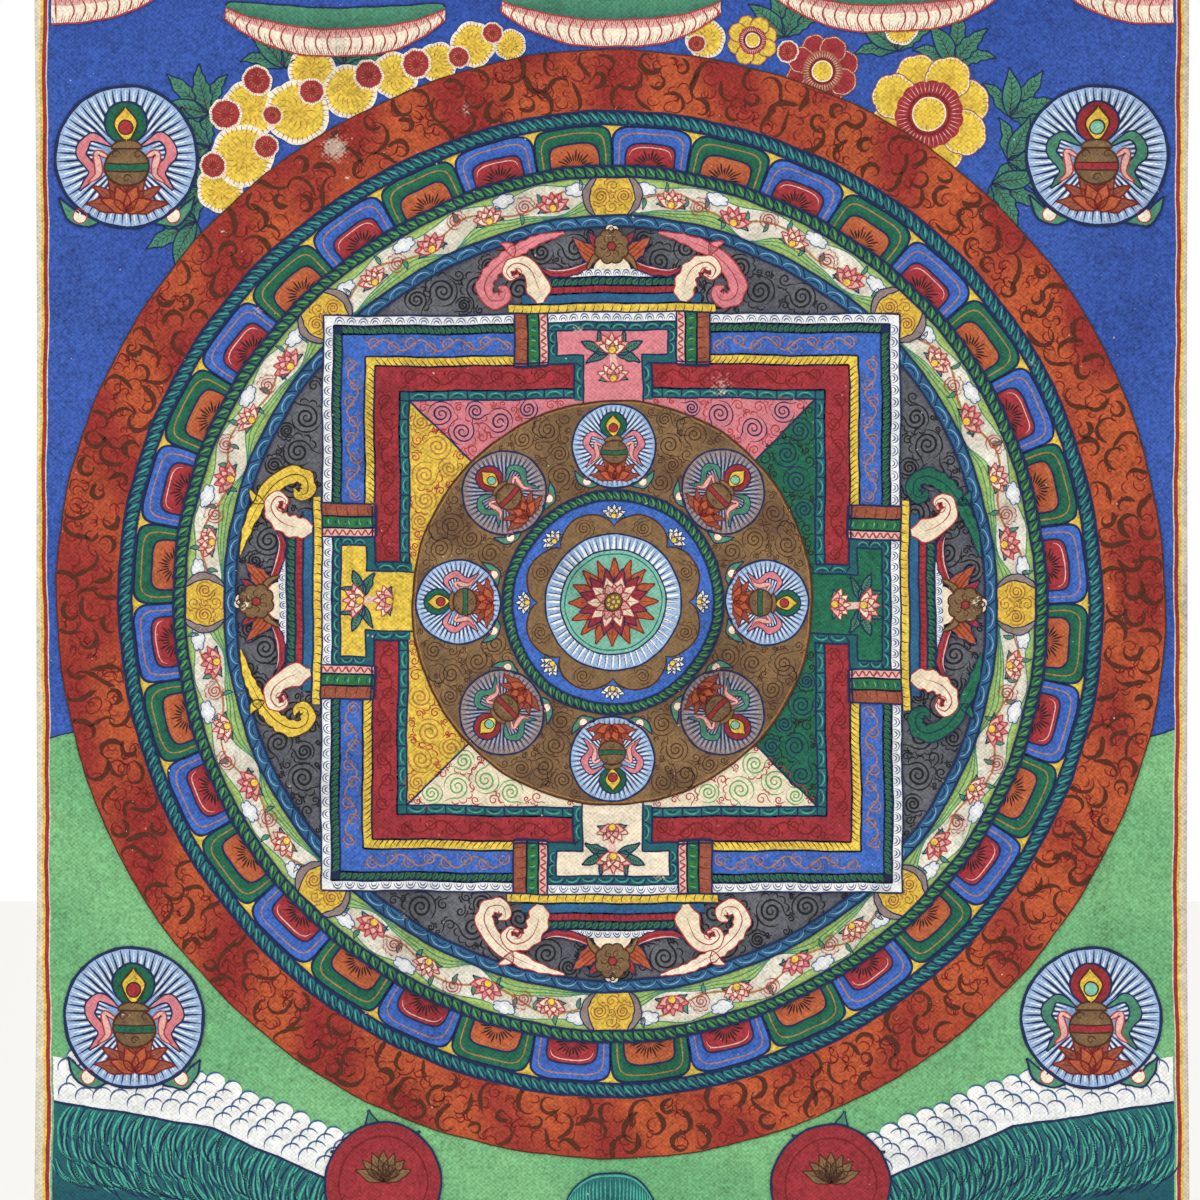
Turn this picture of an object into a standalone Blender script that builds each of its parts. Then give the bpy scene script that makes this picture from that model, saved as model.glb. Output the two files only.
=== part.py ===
"""Thangka scroll painting: one piece of painted cotton canvas, as it hangs from its top edge.

Run it with blender --background --python part.py, or from Blender's text editor.
Units are metres and +Z is up. The painted face looks towards -Y. The origin is the
middle of the top edge, where the cloth is held.
"""

import math
from collections import namedtuple

import bmesh
import bpy

# Driving dimensions of the cloth
CLOTH_WIDTH = 0.300
CLOTH_HEIGHT = 0.410
CLOTH_THICKNESS = 0.001

# The cut edges: each side bows in at mid-height, and the lower edge dips at its middle
SIDE_BOW = 0.0008
HEM_DIP = 0.0006

# The set that rolling has left in the cloth. Each row is one soft ridge (swell above 0) or
# trough (swell below 0) across the cloth: its drop below the top edge, how far it stands
# towards the viewer, half its height, and how much lower it lies per metre to the right.
Ridge = namedtuple("Ridge", "drop swell reach slant")
RIDGES = (
    Ridge(drop=0.058, swell=0.0011, reach=0.026, slant=0.05),
    Ridge(drop=0.124, swell=-0.0008, reach=0.030, slant=-0.03),
    Ridge(drop=0.205, swell=0.0013, reach=0.036, slant=0.02),
    Ridge(drop=0.286, swell=-0.0009, reach=0.030, slant=0.06),
    Ridge(drop=0.352, swell=0.0010, reach=0.024, slant=-0.04),
)

# The lower edge and the two sides curl a little towards the viewer
LOWER_CURL = 0.0042
LOWER_CURL_REACH = 0.034
SIDE_CURL = 0.0016
SIDE_CURL_REACH = 0.022

# The cloth is straight at its top edge, and free of it this far down
HOLD_REACH = 0.040

# Steps of the mesh across and down the cloth
COLUMNS = 20
ROWS = 34

NODE_NAME = "painted_canvas"
CLOTH_COLOUR = (0.42, 0.20, 0.12, 1.0)
CLOTH_ROUGHNESS = 0.85


def bell(distance, reach):
    """1 at the ridge's line, falling smoothly to nothing at about twice its reach."""
    return math.exp(-((distance / reach) ** 2))


def eased(share):
    """0 below 0, 1 above 1, and a smooth step between."""
    share = min(max(share, 0.0), 1.0)
    return share * share * (3.0 - 2.0 * share)


def forward_lift(across, drop):
    """How far the cloth's middle plane stands towards the viewer at one place.

    across is measured from the cloth's centre line, and drop down from its top edge.
    """
    ridges = sum(
        ridge.swell * bell(drop - ridge.drop - ridge.slant * across, ridge.reach)
        for ridge in RIDGES
    )
    lower_curl = LOWER_CURL * bell(CLOTH_HEIGHT - drop, LOWER_CURL_REACH)
    side_curl = SIDE_CURL * bell(CLOTH_WIDTH / 2 - abs(across), SIDE_CURL_REACH)
    return (ridges + lower_curl + side_curl) * eased(drop / HOLD_REACH)


def place_on_cloth(column, row):
    """The point (x, y, z) of the cloth's middle plane at one step of the mesh."""
    across_share = 2.0 * column / COLUMNS - 1.0
    drop_share = row / ROWS
    half_width = CLOTH_WIDTH / 2 - SIDE_BOW * math.sin(math.pi * drop_share)
    across = across_share * half_width
    drop = drop_share * (CLOTH_HEIGHT - HEM_DIP * across_share**2)
    return across, -forward_lift(across, drop), -drop


def add_layer(mesh, offset):
    """Adds the grid of points of one face of the cloth, offset along Y, as rows of vertices."""
    layer = []
    for row in range(ROWS + 1):
        places = [place_on_cloth(column, row) for column in range(COLUMNS + 1)]
        layer.append([mesh.verts.new((x, y + offset, z)) for x, y, z in places])
    return layer


def add_face_grid(mesh, layer, looks_forward):
    """Fills one layer's grid with quads that look towards the viewer, or away."""
    for upper, lower in zip(layer, layer[1:]):
        for column in range(COLUMNS):
            corners = [upper[column], lower[column], lower[column + 1], upper[column + 1]]
            mesh.faces.new(corners if looks_forward else reversed(corners))


def outline_of(layer):
    """The vertices round a layer: along the top, down the right, back along the foot, up."""
    top = layer[0][:-1]
    right = [row[-1] for row in layer[:-1]]
    foot = layer[-1][:0:-1]
    left = [row[0] for row in layer[:0:-1]]
    return top + right + foot + left


def close_edges(mesh, front, back):
    """Joins the two faces of the cloth round its cut edge."""
    front_rim = outline_of(front)
    back_rim = outline_of(back)
    for here in range(len(front_rim)):
        after = (here + 1) % len(front_rim)
        mesh.faces.new(
            (front_rim[here], front_rim[after], back_rim[after], back_rim[here])
        )


def cloth_material():
    """Painted cotton: matt, in the warm red-brown that the painting averages to."""
    material = bpy.data.materials.new("painted_cotton")
    material.use_nodes = True
    shader = material.node_tree.nodes["Principled BSDF"]
    shader.inputs["Base Color"].default_value = CLOTH_COLOUR
    shader.inputs["Roughness"].default_value = CLOTH_ROUGHNESS
    shader.inputs["Metallic"].default_value = 0.0
    return material


def build_canvas():
    """The hanging canvas as one closed solid."""
    mesh = bmesh.new()
    front = add_layer(mesh, -CLOTH_THICKNESS / 2)
    back = add_layer(mesh, CLOTH_THICKNESS / 2)
    add_face_grid(mesh, front, looks_forward=True)
    add_face_grid(mesh, back, looks_forward=False)
    close_edges(mesh, front, back)
    bmesh.ops.recalc_face_normals(mesh, faces=mesh.faces)
    data = bpy.data.meshes.new(NODE_NAME)
    mesh.to_mesh(data)
    mesh.free()
    data.shade_smooth()
    data.set_sharp_from_angle(angle=math.radians(30))
    data.materials.append(cloth_material())
    canvas = bpy.data.objects.new(NODE_NAME, data)
    bpy.context.scene.collection.objects.link(canvas)
    return canvas


def main():
    """Empties the scene and builds the part."""
    for old in list(bpy.data.objects):
        bpy.data.objects.remove(old)
    build_canvas()


main()
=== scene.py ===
"""The looks of a thangka scroll painting: mineral paint on cotton that hangs from its top edge.

Places in the painting are millimetres from the middle of its great circle, x to the viewer's
right and z up. Cloth.on_front lays them on the front of the hanging cloth. Paint is thin film:
a fill is a grid of points between two outlines, and a brush line is a ribbon along a path.
"""

import logging
import math
from dataclasses import dataclass
from enum import Enum
from typing import Callable

import bpy
import numpy as np
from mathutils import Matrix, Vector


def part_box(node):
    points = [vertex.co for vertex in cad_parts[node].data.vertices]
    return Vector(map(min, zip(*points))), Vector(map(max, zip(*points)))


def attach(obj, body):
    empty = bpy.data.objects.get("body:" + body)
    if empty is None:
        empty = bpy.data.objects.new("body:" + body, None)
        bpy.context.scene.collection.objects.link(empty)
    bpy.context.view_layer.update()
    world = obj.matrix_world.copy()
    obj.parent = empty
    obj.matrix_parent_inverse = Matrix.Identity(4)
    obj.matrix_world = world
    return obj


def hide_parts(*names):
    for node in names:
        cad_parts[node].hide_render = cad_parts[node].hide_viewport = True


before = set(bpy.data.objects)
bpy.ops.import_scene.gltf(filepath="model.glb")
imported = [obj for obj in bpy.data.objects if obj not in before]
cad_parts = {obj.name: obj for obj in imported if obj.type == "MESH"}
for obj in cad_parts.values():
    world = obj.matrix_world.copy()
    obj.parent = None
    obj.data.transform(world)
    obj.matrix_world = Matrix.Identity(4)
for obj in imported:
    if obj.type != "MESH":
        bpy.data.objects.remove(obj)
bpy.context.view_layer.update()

Array = np.ndarray
Reals = Array | float
Tones = tuple[float, float]
Track = Callable[[Reals, Reals], Array]
Tree = bpy.types.NodeTree
Socket = bpy.types.NodeSocket
Sockets = bpy.types.bpy_prop_collection
MM = 0.001
TAU = 2.0 * math.pi
LAYER = 0.02  # millimetres from one layer of paint to the next
STEP = 3.0  # millimetres between the points of a broad fill, so that it follows the cloth
SIDES = ((1.0, 1.0), (-1.0, 1.0))  # what keeps a drawing as it is, and what mirrors it


def linear(code: str) -> tuple[float, float, float, float]:
    """Turns an sRGB colour to linear light.

    Args:
        code: six hex digits.

    Returns:
        Linear red, green, blue and an alpha of 1.
    """
    channels = np.array([int(code[start : start + 2], 16) for start in (0, 2, 4)]) / 255.0
    light = np.where(channels <= 0.04045, channels / 12.92, ((channels + 0.055) / 1.055) ** 2.4)
    return (*(float(channel) for channel in light), 1.0)


def add(tree: Tree, kind: str, settings: dict | None = None, sockets: dict | None = None) -> Sockets:
    """Adds one node with its settings and links.

    Args:
        tree: the node tree that gets it.
        kind: its Blender type, less the ShaderNode that it starts with.
        settings: its properties by name.
        sockets: its inputs by name or number, each a value or the socket that feeds it.

    Returns:
        The new node's outputs.
    """
    node = tree.nodes.new(kind if kind.startswith("NodeGroup") else f"ShaderNode{kind}")
    for name, value in (settings or {}).items():
        setattr(node, name, value)
    for key, value in (sockets or {}).items():
        if isinstance(value, Socket):
            tree.links.new(value, node.inputs[key])
        else:
            node.inputs[key].default_value = value
    return node.outputs


@dataclass(frozen=True)
class PaintedCotton:
    """What the weave, the grains of pigment and wear do to every paint, in real millimetres."""

    # The real threads are 0.50 and 0.42 mm apart. They would vanish at this render's 0.3 mm a
    # pixel, so they are drawn a quarter coarser.
    warp: float = 0.63
    weft: float = 0.53
    wander: float = 9.0
    grain: float = 0.9
    flake: float = 1.7
    slub: float = 1.1
    mottle: float = 3.2
    drift: float = 24.0
    grime: float = 38.0
    relief: float = 0.10

    def noise(self, tree: Tree, place: Socket, size: float, detail: float,
              stretch: tuple = (1.0, 1.0, 1.0)) -> Socket:
        """Smooth noise from 0 to 1 whose lumps are of a real size.

        Args:
            tree: the node tree that gets it.
            place: the place in metres.
            size: the lumps' size in millimetres.
            detail: how many finer octaves it has.
            stretch: by how much each axis is scaled first, less than 1 for streaks along it.

        Returns:
            The noise's socket.
        """
        scaled = add(tree, "VectorMath", {"operation": "MULTIPLY"}, {0: place, 1: stretch})
        sockets = {"Vector": scaled[0], "Scale": 1.0 / (size * MM), "Detail": detail, "Roughness": 0.65}
        return add(tree, "TexNoise", None, sockets)[0]

    def sum_of(self, tree: Tree, start: Socket | float, *terms: tuple) -> Socket:
        """Adds weighted values.

        Args:
            tree: the node tree that gets the nodes.
            start: the constant or socket to start from.
            terms: pairs of a socket and its weight, a number or a socket.

        Returns:
            The socket of start plus each value times its weight.
        """
        total = start
        for value, weight in terms:
            total = add(tree, "Math", {"operation": "MULTIPLY_ADD"}, {0: value, 1: weight, 2: total})[0]
        return total

    def group(self) -> Tree:
        """Makes the node group that ages a paint and gives it the cloth's relief.

        The weave is a sine across times a sine down, so crowns and hollows alternate as threads
        pass over and under. It gives the bump, and in the colour it is also painted light and
        shade: crowns lighter and hollows darker. Noise at the sizes above adds pigment grains,
        slubs along both threads, slow drifts, soot, and flakes where the ground shows.

        Returns:
            The group, from Body, Deep and Grit to Colour and Normal.
        """
        tree = bpy.data.node_groups.new("paint_on_cotton", "ShaderNodeTree")
        for name, kind, way in (
            ("Body", "Color", "INPUT"), ("Deep", "Color", "INPUT"), ("Grit", "Float", "INPUT"),
            ("Colour", "Color", "OUTPUT"), ("Normal", "Vector", "OUTPUT"),
        ):
            tree.interface.new_socket(name=name, in_out=way, socket_type=f"NodeSocket{kind}")
        given = add(tree, "NodeGroupInput")
        place = add(tree, "TexCoord")["Object"]
        bent = add(tree, "TexNoise", None, {"Vector": place, "Scale": 1.0 / (self.wander * MM)})["Color"]
        swing = (self.warp * 0.7 * MM,) * 3
        moved = add(tree, "VectorMath", {"operation": "MULTIPLY_ADD"}, {0: bent, 1: swing, 2: place})
        axes = add(tree, "SeparateXYZ", None, {0: moved[0]})
        waves = []
        for axis, pitch in ((axes[0], self.warp), (axes[2], self.weft)):
            phase = add(tree, "Math", {"operation": "MULTIPLY"}, {0: axis, 1: math.pi / (pitch * MM)})
            waves.append(add(tree, "Math", {"operation": "SINE"}, {0: phase[0]})[0])
        weave = add(tree, "Math", {"operation": "MULTIPLY"}, {0: waves[0], 1: waves[1]})[0]
        grains = self.noise(tree, place, self.grain, 2.0)
        across = self.noise(tree, place, self.slub, 1.0, (0.07, 1.0, 1.0))
        down = self.noise(tree, place, self.slub, 1.0, (1.0, 1.0, 0.07))
        drift = self.noise(tree, place, self.drift, 2.0)
        mottle = self.noise(tree, place, self.mottle, 3.0)
        flakes = self.noise(tree, place, self.flake, 4.0)
        soot = self.noise(tree, place, self.grime, 3.0, (1.0, 1.0, 0.8))
        shade, wear = (add(tree, "Attribute", {"attribute_name": name})["Fac"] for name in ("shade", "wear"))
        depth = add(tree, "Clamp", None, {0: self.sum_of(tree, -0.25, (drift, 0.5), (shade, 1.0))})[0]
        colour = add(tree, "Mix", {"data_type": "RGBA"}, {0: depth, 6: given["Body"], 7: given["Deep"]})[2]
        grit = self.sum_of(tree, -1.35, (grains, 2.7))
        # brightness: random pigment grit, mottle and slubs, plus the weave as painted shade in its hollows
        # and painted highlight on its crowns
        light = self.sum_of(
            tree, 0.61, (grit, given["Grit"]), (mottle, 0.5), (weave, 0.13), (across, 0.16), (down, 0.12)
        )
        rubbed = self.sum_of(tree, -0.62, (wear, 0.8), (grains, 0.9), (weave, 0.09), (flakes, 0.35))
        chipped = self.sum_of(tree, 0.0, (flakes, 1.0), (weave, 0.018), (wear, 0.12))
        shares = []
        for value, low, high, top in (
            # where each kind of wear sets in, where it is full, and how much it covers there
            (soot, 0.52, 0.78, 0.30), (rubbed, 0.42, 0.72, 0.72), (chipped, 0.715, 0.745, 0.85),
        ):
            sockets = {0: value, 1: low, 2: high, 3: 0.0, 4: top}
            shares.append(add(tree, "MapRange", {"interpolation_type": "SMOOTHSTEP"}, sockets)[0])
        light = self.sum_of(tree, light, (shares[0], -1.0))
        colour = add(tree, "VectorMath", {"operation": "SCALE"}, {0: colour, 3: light})[0]
        for share, bare in zip(shares[1:], ("cdb9a8", "ddd4c2")):
            colour = add(tree, "Mix", {"data_type": "RGBA"}, {0: share, 6: colour, 7: linear(bare)})[2]
        height = self.sum_of(tree, 0.0, (weave, 0.5), (grains, 0.6), (across, 0.5), (down, 0.4))
        bump = add(tree, "Bump", None, {"Strength": 0.55, "Distance": self.relief * MM, "Height": height})
        add(tree, "NodeGroupOutput", None, {"Colour": colour, "Normal": bump[0]})
        return tree


@dataclass(frozen=True)
class Paint:
    """One paint in hide glue, with the colour where it lies plain and where it is shaded."""

    body: str
    deep: str
    grit: float = 0.55
    rough: float = 0.85
    gloss: float = 0.25
    metal: float = 0.0

    def material(self, name: str) -> bpy.types.Material:
        """Makes or finds the paint's material.

        Args:
            name: the paint's name.

        Returns:
            The material, with the paint's constants on the shader's own sockets.
        """
        found = bpy.data.materials.get(name)
        if found:
            return found
        material = bpy.data.materials.new(name)
        material.use_nodes = True
        tree = material.node_tree
        tree.nodes.clear()
        group = bpy.data.node_groups.get("paint_on_cotton") or PaintedCotton().group()
        sockets = {"Body": linear(self.body), "Deep": linear(self.deep), "Grit": self.grit}
        aged = add(tree, "Group", {"node_tree": group}, sockets)
        shader = add(tree, "BsdfPrincipled", None, {
            "Base Color": aged["Colour"], "Normal": aged["Normal"], "Roughness": self.rough,
            "Metallic": self.metal, "Specular IOR Level": self.gloss,
        })
        add(tree, "OutputMaterial", None, {0: shader[0]})
        material.diffuse_color = linear(self.body)
        return material


class Pigment(Enum):
    """The paints on the cloth, by what each is ground from."""

    # Washed chalk and glue, rubbed smooth: a warm dull white that takes the weave's shadow
    CHALK_GROUND = Paint("ddd3bf", "c7b99c", grit=0.35)
    # Unbleached cotton: straw-coloured, with darker slubs
    RAW_COTTON = Paint("c3b391", "a8946f", grit=0.8)
    # Azurite, coarse: a deep matt blue with visible grains
    AZURITE_SKY = Paint("3857a6", "284693", grit=0.7)
    AZURITE = Paint("4068ba", "3355a2", grit=0.65)
    PALE_AZURITE = Paint("9bb5d6", "7b99c6", grit=0.4)
    STEEL_AZURITE = Paint("2f6389", "25496f", grit=0.5)
    # Malachite, from the pale fine grind of the fields to the dark coarse one
    PALE_MALACHITE = Paint("78b47c", "5c9d6c", grit=0.55)
    MALACHITE = Paint("236a4e", "195240", grit=0.6)
    LEAF_MALACHITE = Paint("4d8a6c", "336858", grit=0.5)
    ROPE_MALACHITE = Paint("35703f", "205036", grit=0.4)
    TEAL = Paint("27696c", "1b4c59", grit=0.45)
    SEA_GREEN = Paint("7db9a1", "5c9888", grit=0.35)
    FRESH_GREEN = Paint("a6bf6c", "7fa055", grit=0.5)
    # Cinnabar, red lead and lac: dense matt reds
    FLAME_CINNABAR = Paint("b4532f", "8f2c28", grit=0.65)
    CINNABAR = Paint("a03339", "7c262c", grit=0.55)
    RED_LEAD = Paint("b75c38", "93462c", grit=0.5)
    BRICK = Paint("98533d", "7a4130", grit=0.55)
    PINK = Paint("d9848b", "bb6870", grit=0.4)
    SHELL_PINK = Paint("e2b8ae", "cb877c", grit=0.4)
    # Orpiment: a granular lemon to golden yellow
    ORPIMENT = Paint("e3c44c", "c69d38", grit=0.6)
    CREAM = Paint("eee1ca", "d9c4a1", grit=0.35)
    SHELL_WHITE = Paint("e4dfd0", "cbc3b0", grit=0.45)
    WHITE = Paint("efeeea", "c6cdd4", grit=0.3)
    MAUVE = Paint("93807b", "756460", grit=0.4)
    # Lamp black in white: the stony grey of the scroll field
    GREY = Paint("65666c", "52545c", grit=0.6)
    # Gold rubbed thin over ochre: olive-brown, with a faint metal sheen
    OLIVE_GOLD = Paint("83643c", "65482b", grit=0.6, rough=0.6, gloss=0.5, metal=0.15)
    # Inks and line colours, thin and smooth
    INDIGO_INK = Paint("17264f", "101b3c", grit=0.35, rough=0.7)
    LAMP_BLACK = Paint("1d1a1c", "121012", grit=0.3, rough=0.7)
    UMBER = Paint("4a3020", "382419", grit=0.5)
    LAC = Paint("76211f", "5a1a1b", grit=0.4)
    CRIMSON_LINE = Paint("a83a3c", "8c2a30", grit=0.4)
    OCHRE_LINE = Paint("ad7740", "8c5c30", grit=0.5)
    EMBER_LINE = Paint("552a1c", "3c1b14", grit=0.4)
    BARK_LINE = Paint("4a2b1c", "352014", grit=0.4)
    SLATE_LINE = Paint("4d5d8a", "3a4876", grit=0.4)
    PALE_TEAL_LINE = Paint("4aa88e", "338a7a", grit=0.35)
    PALE_GREEN_LINE = Paint("5fa55e", "45894e", grit=0.35)
    PALE_BLUE_LINE = Paint("7aa6c8", "5a88b0", grit=0.35)

    def material(self) -> bpy.types.Material:
        """The paint's material."""
        return self.value.material(self.name.lower())


INK, CRIMSON, BARK = Pigment.INDIGO_INK, Pigment.CRIMSON_LINE, Pigment.BARK_LINE


@dataclass(frozen=True)
class Ridge:
    """One soft ridge or trough that rolling has left across the cloth, in metres."""

    drop: float
    swell: float
    reach: float
    slant: float


@dataclass(frozen=True)
class Cloth:
    """The hanging cloth's form, in metres, as the frame's solid has it."""

    width: float
    height: float
    thickness: float = 0.001
    side_bow: float = 0.0008
    hem_dip: float = 0.0006
    lower_curl: float = 0.0042
    lower_curl_reach: float = 0.034
    side_curl: float = 0.0016
    side_curl_reach: float = 0.022
    hold_reach: float = 0.040
    ridges: tuple[Ridge, ...] = (
        Ridge(0.058, 0.0011, 0.026, 0.05),
        Ridge(0.124, -0.0008, 0.030, -0.03),
        Ridge(0.205, 0.0013, 0.036, 0.02),
        Ridge(0.286, -0.0009, 0.030, 0.06),
        Ridge(0.352, 0.0010, 0.024, -0.04),
    )

    def lift(self, across: Array, drop: Array) -> Array:
        """How far the middle plane stands towards the viewer.

        It is the sum of a bell for each ridge, for the lower edge's curl and for the nearer
        side's curl, times a smooth step from the held top edge down.

        Args:
            across: metres from the centre line.
            drop: metres below the top edge.

        Returns:
            The lift in metres.
        """
        total = self.lower_curl * np.exp(-(((self.height - drop) / self.lower_curl_reach) ** 2))
        side = (self.width / 2 - np.abs(across)) / self.side_curl_reach
        total = total + self.side_curl * np.exp(-(side**2))
        for ridge in self.ridges:
            away = (drop - ridge.drop - ridge.slant * across) / ridge.reach
            total = total + ridge.swell * np.exp(-(away**2))
        share = np.clip(drop / self.hold_reach, 0.0, 1.0)
        return total * share**2 * (3.0 - 2.0 * share)

    def on_front(self, places: Array, height: Array) -> Array:
        """Lays places of the painting on the cloth's front.

        Args:
            places: x and z in millimetres from the middle of the cloth.
            height: millimetres off the cloth's front.

        Returns:
            Points in metres, x, y and z.
        """
        across = places[..., 0] * MM
        drop = self.height / 2 - places[..., 1] * MM
        forward = -self.lift(across, drop) - self.thickness / 2 - height * MM
        return np.stack([across, forward, -drop], -1)


def pair(across: Reals, up: Reals) -> Array:
    """Places from their two coordinates, each an array or one number for all."""
    return np.stack(np.broadcast_arrays(across, up), -1)


def polar(radius: Reals, angle: Reals) -> Array:
    """Places at a radius and an angle, anticlockwise from the right."""
    return pair(radius * np.cos(angle), radius * np.sin(angle))


def arc(radius: float, start: float, end: float, count: int) -> Array:
    """A stretch of a circle as count places, from one angle in degrees to another."""
    return polar(radius, np.radians(np.linspace(start, end, count)))


def ring(radius: Reals, count: int) -> Array:
    """A whole circle as count places, its radius one number or one for each place."""
    return polar(radius, np.arange(count) * TAU / count)


def turned(points: Array, angle: Reals) -> Array:
    """Points turned anticlockwise about the origin by an angle in radians.

    Args:
        points: the points.
        angle: the angle, one number or an array that fits the points.

    Returns:
        The turned points.
    """
    x, z = points[..., 0], points[..., 1]
    cos, sin = np.cos(angle), np.sin(angle)
    return pair(x * cos - z * sin, x * sin + z * cos)


def stamped(motif: Array, places: Array, turns: Reals = 0.0, sizes: Reals = 1.0) -> Array:
    """Copies of a motif: each is scaled by its size, turned by its angle and moved to its place.

    Args:
        motif: points about the origin.
        places: the origin's place in each copy, one row a copy.
        turns: the angle of each in radians.
        sizes: the size of each.

    Returns:
        The copies' points, with a first axis for the copies.
    """
    places = np.atleast_2d(places)
    lone = (len(places),) + (1,) * (motif.ndim - 1)
    angles = np.broadcast_to(turns, len(places)).reshape(lone)
    scales = np.broadcast_to(sizes, len(places)).reshape(lone + (1,))
    return turned(motif * scales, angles) + places.reshape(lone + (2,))


def spun(points: Array, count: int, start: float = 0.0) -> Array:
    """Copies of points, turned round the origin in count equal steps from start in radians."""
    return stamped(points, np.zeros((count, 2)), start + np.arange(count) * TAU / count)


def upright(places: Array) -> Array:
    """The turns that stand a motif at each place with its foot towards the circle's middle."""
    return np.arctan2(places[..., 1], places[..., 0]) - math.pi / 2


def mirrored(points: Array) -> Array:
    """The points and their mirror image left for right, with a first axis for the two."""
    return np.stack([points, points * (-1.0, 1.0)])


def lobed(radius: float, lobes: int, depth: float, count: int = 96) -> Array:
    """A scalloped outline: the radius swells by depth times the size of a sine, lobes times round."""
    angle = np.arange(count) * TAU / count
    return polar(radius * (1.0 - depth + depth * np.abs(np.sin(angle * lobes / 2)) ** 0.7), angle)


def rounded(half_width: float, height: float, power: float, count: int = 25) -> Array:
    """The upper half of a superellipse, from its right foot over its top to its left foot.

    Args:
        half_width: half its width at the foot.
        height: its height.
        power: 2 for an ellipse, and more for squarer shoulders.
        count: how many places it has.

    Returns:
        The outline's places.
    """
    angle = np.linspace(0.0, math.pi, count)
    cos, sin = np.cos(angle), np.sin(angle)
    x = half_width * np.sign(cos) * np.abs(cos) ** (2 / power)
    return pair(x, height * np.abs(sin) ** (2 / power))


def curls(heading: Array, length: Array, turn: Array, power: float = 1.6, counter: Reals = 0.0,
          count: int = 18) -> Array:
    """Hooked brush strokes, each about its own middle.

    The heading grows from its start by turn times the share run to a power, less counter times
    the square of the share left, which bends the start the other way.

    Args:
        heading: each stroke's first heading in radians.
        length: each stroke's length.
        turn: how far each turns in all, in radians.
        power: how late it turns.
        counter: the counter-bend in radians.
        count: points on each.

    Returns:
        The strokes' points, one row a stroke.
    """
    share = np.linspace(0.0, 1.0, count)
    heading, length, turn, counter = np.broadcast_arrays(*np.atleast_1d(heading, length, turn, counter))
    way = heading[:, None] + turn[:, None] * share**power - counter[:, None] * (1 - share) ** 2
    path = np.cumsum(polar(length[:, None] / (count - 1), way), 1)
    return path - path.mean(1, keepdims=True)


def volute(turns: float, eye: float = 0.12, count: int = 36) -> Array:
    """A spiral of outer radius 1 that winds in to a small eye, its radius falling evenly."""
    share = np.linspace(0.0, 1.0, count)
    return polar(1.0 - (1.0 - eye) * share**0.85, TAU * turns * share)


def smooth(points: list, count: int) -> Array:
    """A smooth curve through a few given points.

    Between two points it is the cubic whose slopes are half the step between their neighbours.

    Args:
        points: the points.
        count: how many places to read from the curve.

    Returns:
        The curve's places.
    """
    knots = np.asarray(points, float)
    slope = np.gradient(knots, axis=0)
    at = np.linspace(0, len(knots) - 1, count)
    low = np.minimum(at.astype(int), len(knots) - 2)
    t = (at - low)[:, None]
    a, b, da, db = knots[low], knots[low + 1], slope[low], slope[low + 1]
    return (a * (1 + 2 * t) + da * t) * (1 - t) ** 2 + (b * (3 - 2 * t) - db * (1 - t)) * t**2


def block(left: float, right: float, low: float, high: float) -> Array:
    """A rectangle as a grid of places no further apart than STEP.

    Args:
        left: its left side.
        right: its right side.
        low: its foot.
        high: its top.

    Returns:
        The grid, with rows from the foot up.
    """
    columns = max(2, math.ceil((right - left) / STEP) + 1)
    rows = max(2, math.ceil((high - low) / STEP) + 1)
    return np.stack(np.meshgrid(np.linspace(left, right, columns), np.linspace(low, high, rows)), -1)


def waver(points: Array, reach: float, seed: int) -> Array:
    """A slow random field: the mean of six sines in random directions, each about reach long.

    Args:
        points: where it is read.
        reach: millimetres over which it changes.
        seed: which field it is.

    Returns:
        Values from 0 to 1.
    """
    rng = np.random.default_rng(seed)
    total = 0.0
    for angle, scale, phase in rng.uniform((0, 0.7, 0), (TAU, 1.5, TAU), (6, 3)):
        along = points @ np.array([math.cos(angle), math.sin(angle)])
        total = total + np.sin(along * TAU / (reach * scale) + phase)
    return np.clip(0.5 + total / 5.0, 0.0, 1.0)


def packed(reach: float, room: Callable[[Array], Array], least: float, most: float, seed: int,
           tries: int = 3000) -> tuple[Array, Array]:
    """Circles that fill a field, the largest first.

    Of many random places, the one with the most room is taken again and again. The room of the
    others is then no more than their distance from it less its size.

    Args:
        reach: half the side of the square that is filled.
        room: gives the free radius about each place.
        least: the smallest size.
        most: the largest size.
        seed: for the random places.
        tries: how many places are tried.

    Returns:
        The circles' middles and their sizes.
    """
    tried = np.random.default_rng(seed).uniform(-reach, reach, (tries, 2))
    free = np.minimum(room(tried), most)
    taken, sizes = [], []
    while free.max() > least:
        best = int(free.argmax())
        taken.append(tried[best])
        sizes.append(free[best])
        free = np.minimum(free, np.linalg.norm(tried - tried[best], axis=1) - free[best])
    return np.array(taken), np.array(sizes)


class Taper(Enum):
    """How a brush line's width runs: a sine's bend towards its start, its power, and the least."""

    EVEN = (1.0, 0.0, 1.0)
    POINTED = (1.0, 0.6, 0.14)
    # Full at its start and drawn out thin: not a sine
    TAIL = None
    # Widest before its middle
    LEAF = (0.8, 1.0, 0.05)
    # Blunt at both ends
    BEAD = (1.0, 0.4, 0.2)
    # Heaviest at a third, and drawn out
    HOOK = (0.6, 0.9, 0.18)

    def profile(self, count: int) -> Array:
        """The share of the full width at count even steps along the line.

        Args:
            count: how many steps.

        Returns:
            The shares.
        """
        t = np.linspace(0.0, 1.0, count)
        if self is Taper.TAIL:
            return np.maximum((1.0 - t) ** 0.75 * np.minimum(1.0, 0.35 + 7.0 * t), 0.12)
        bend, power, least = self.value
        return np.maximum(np.sin(math.pi * t**bend) ** power, least)


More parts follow.
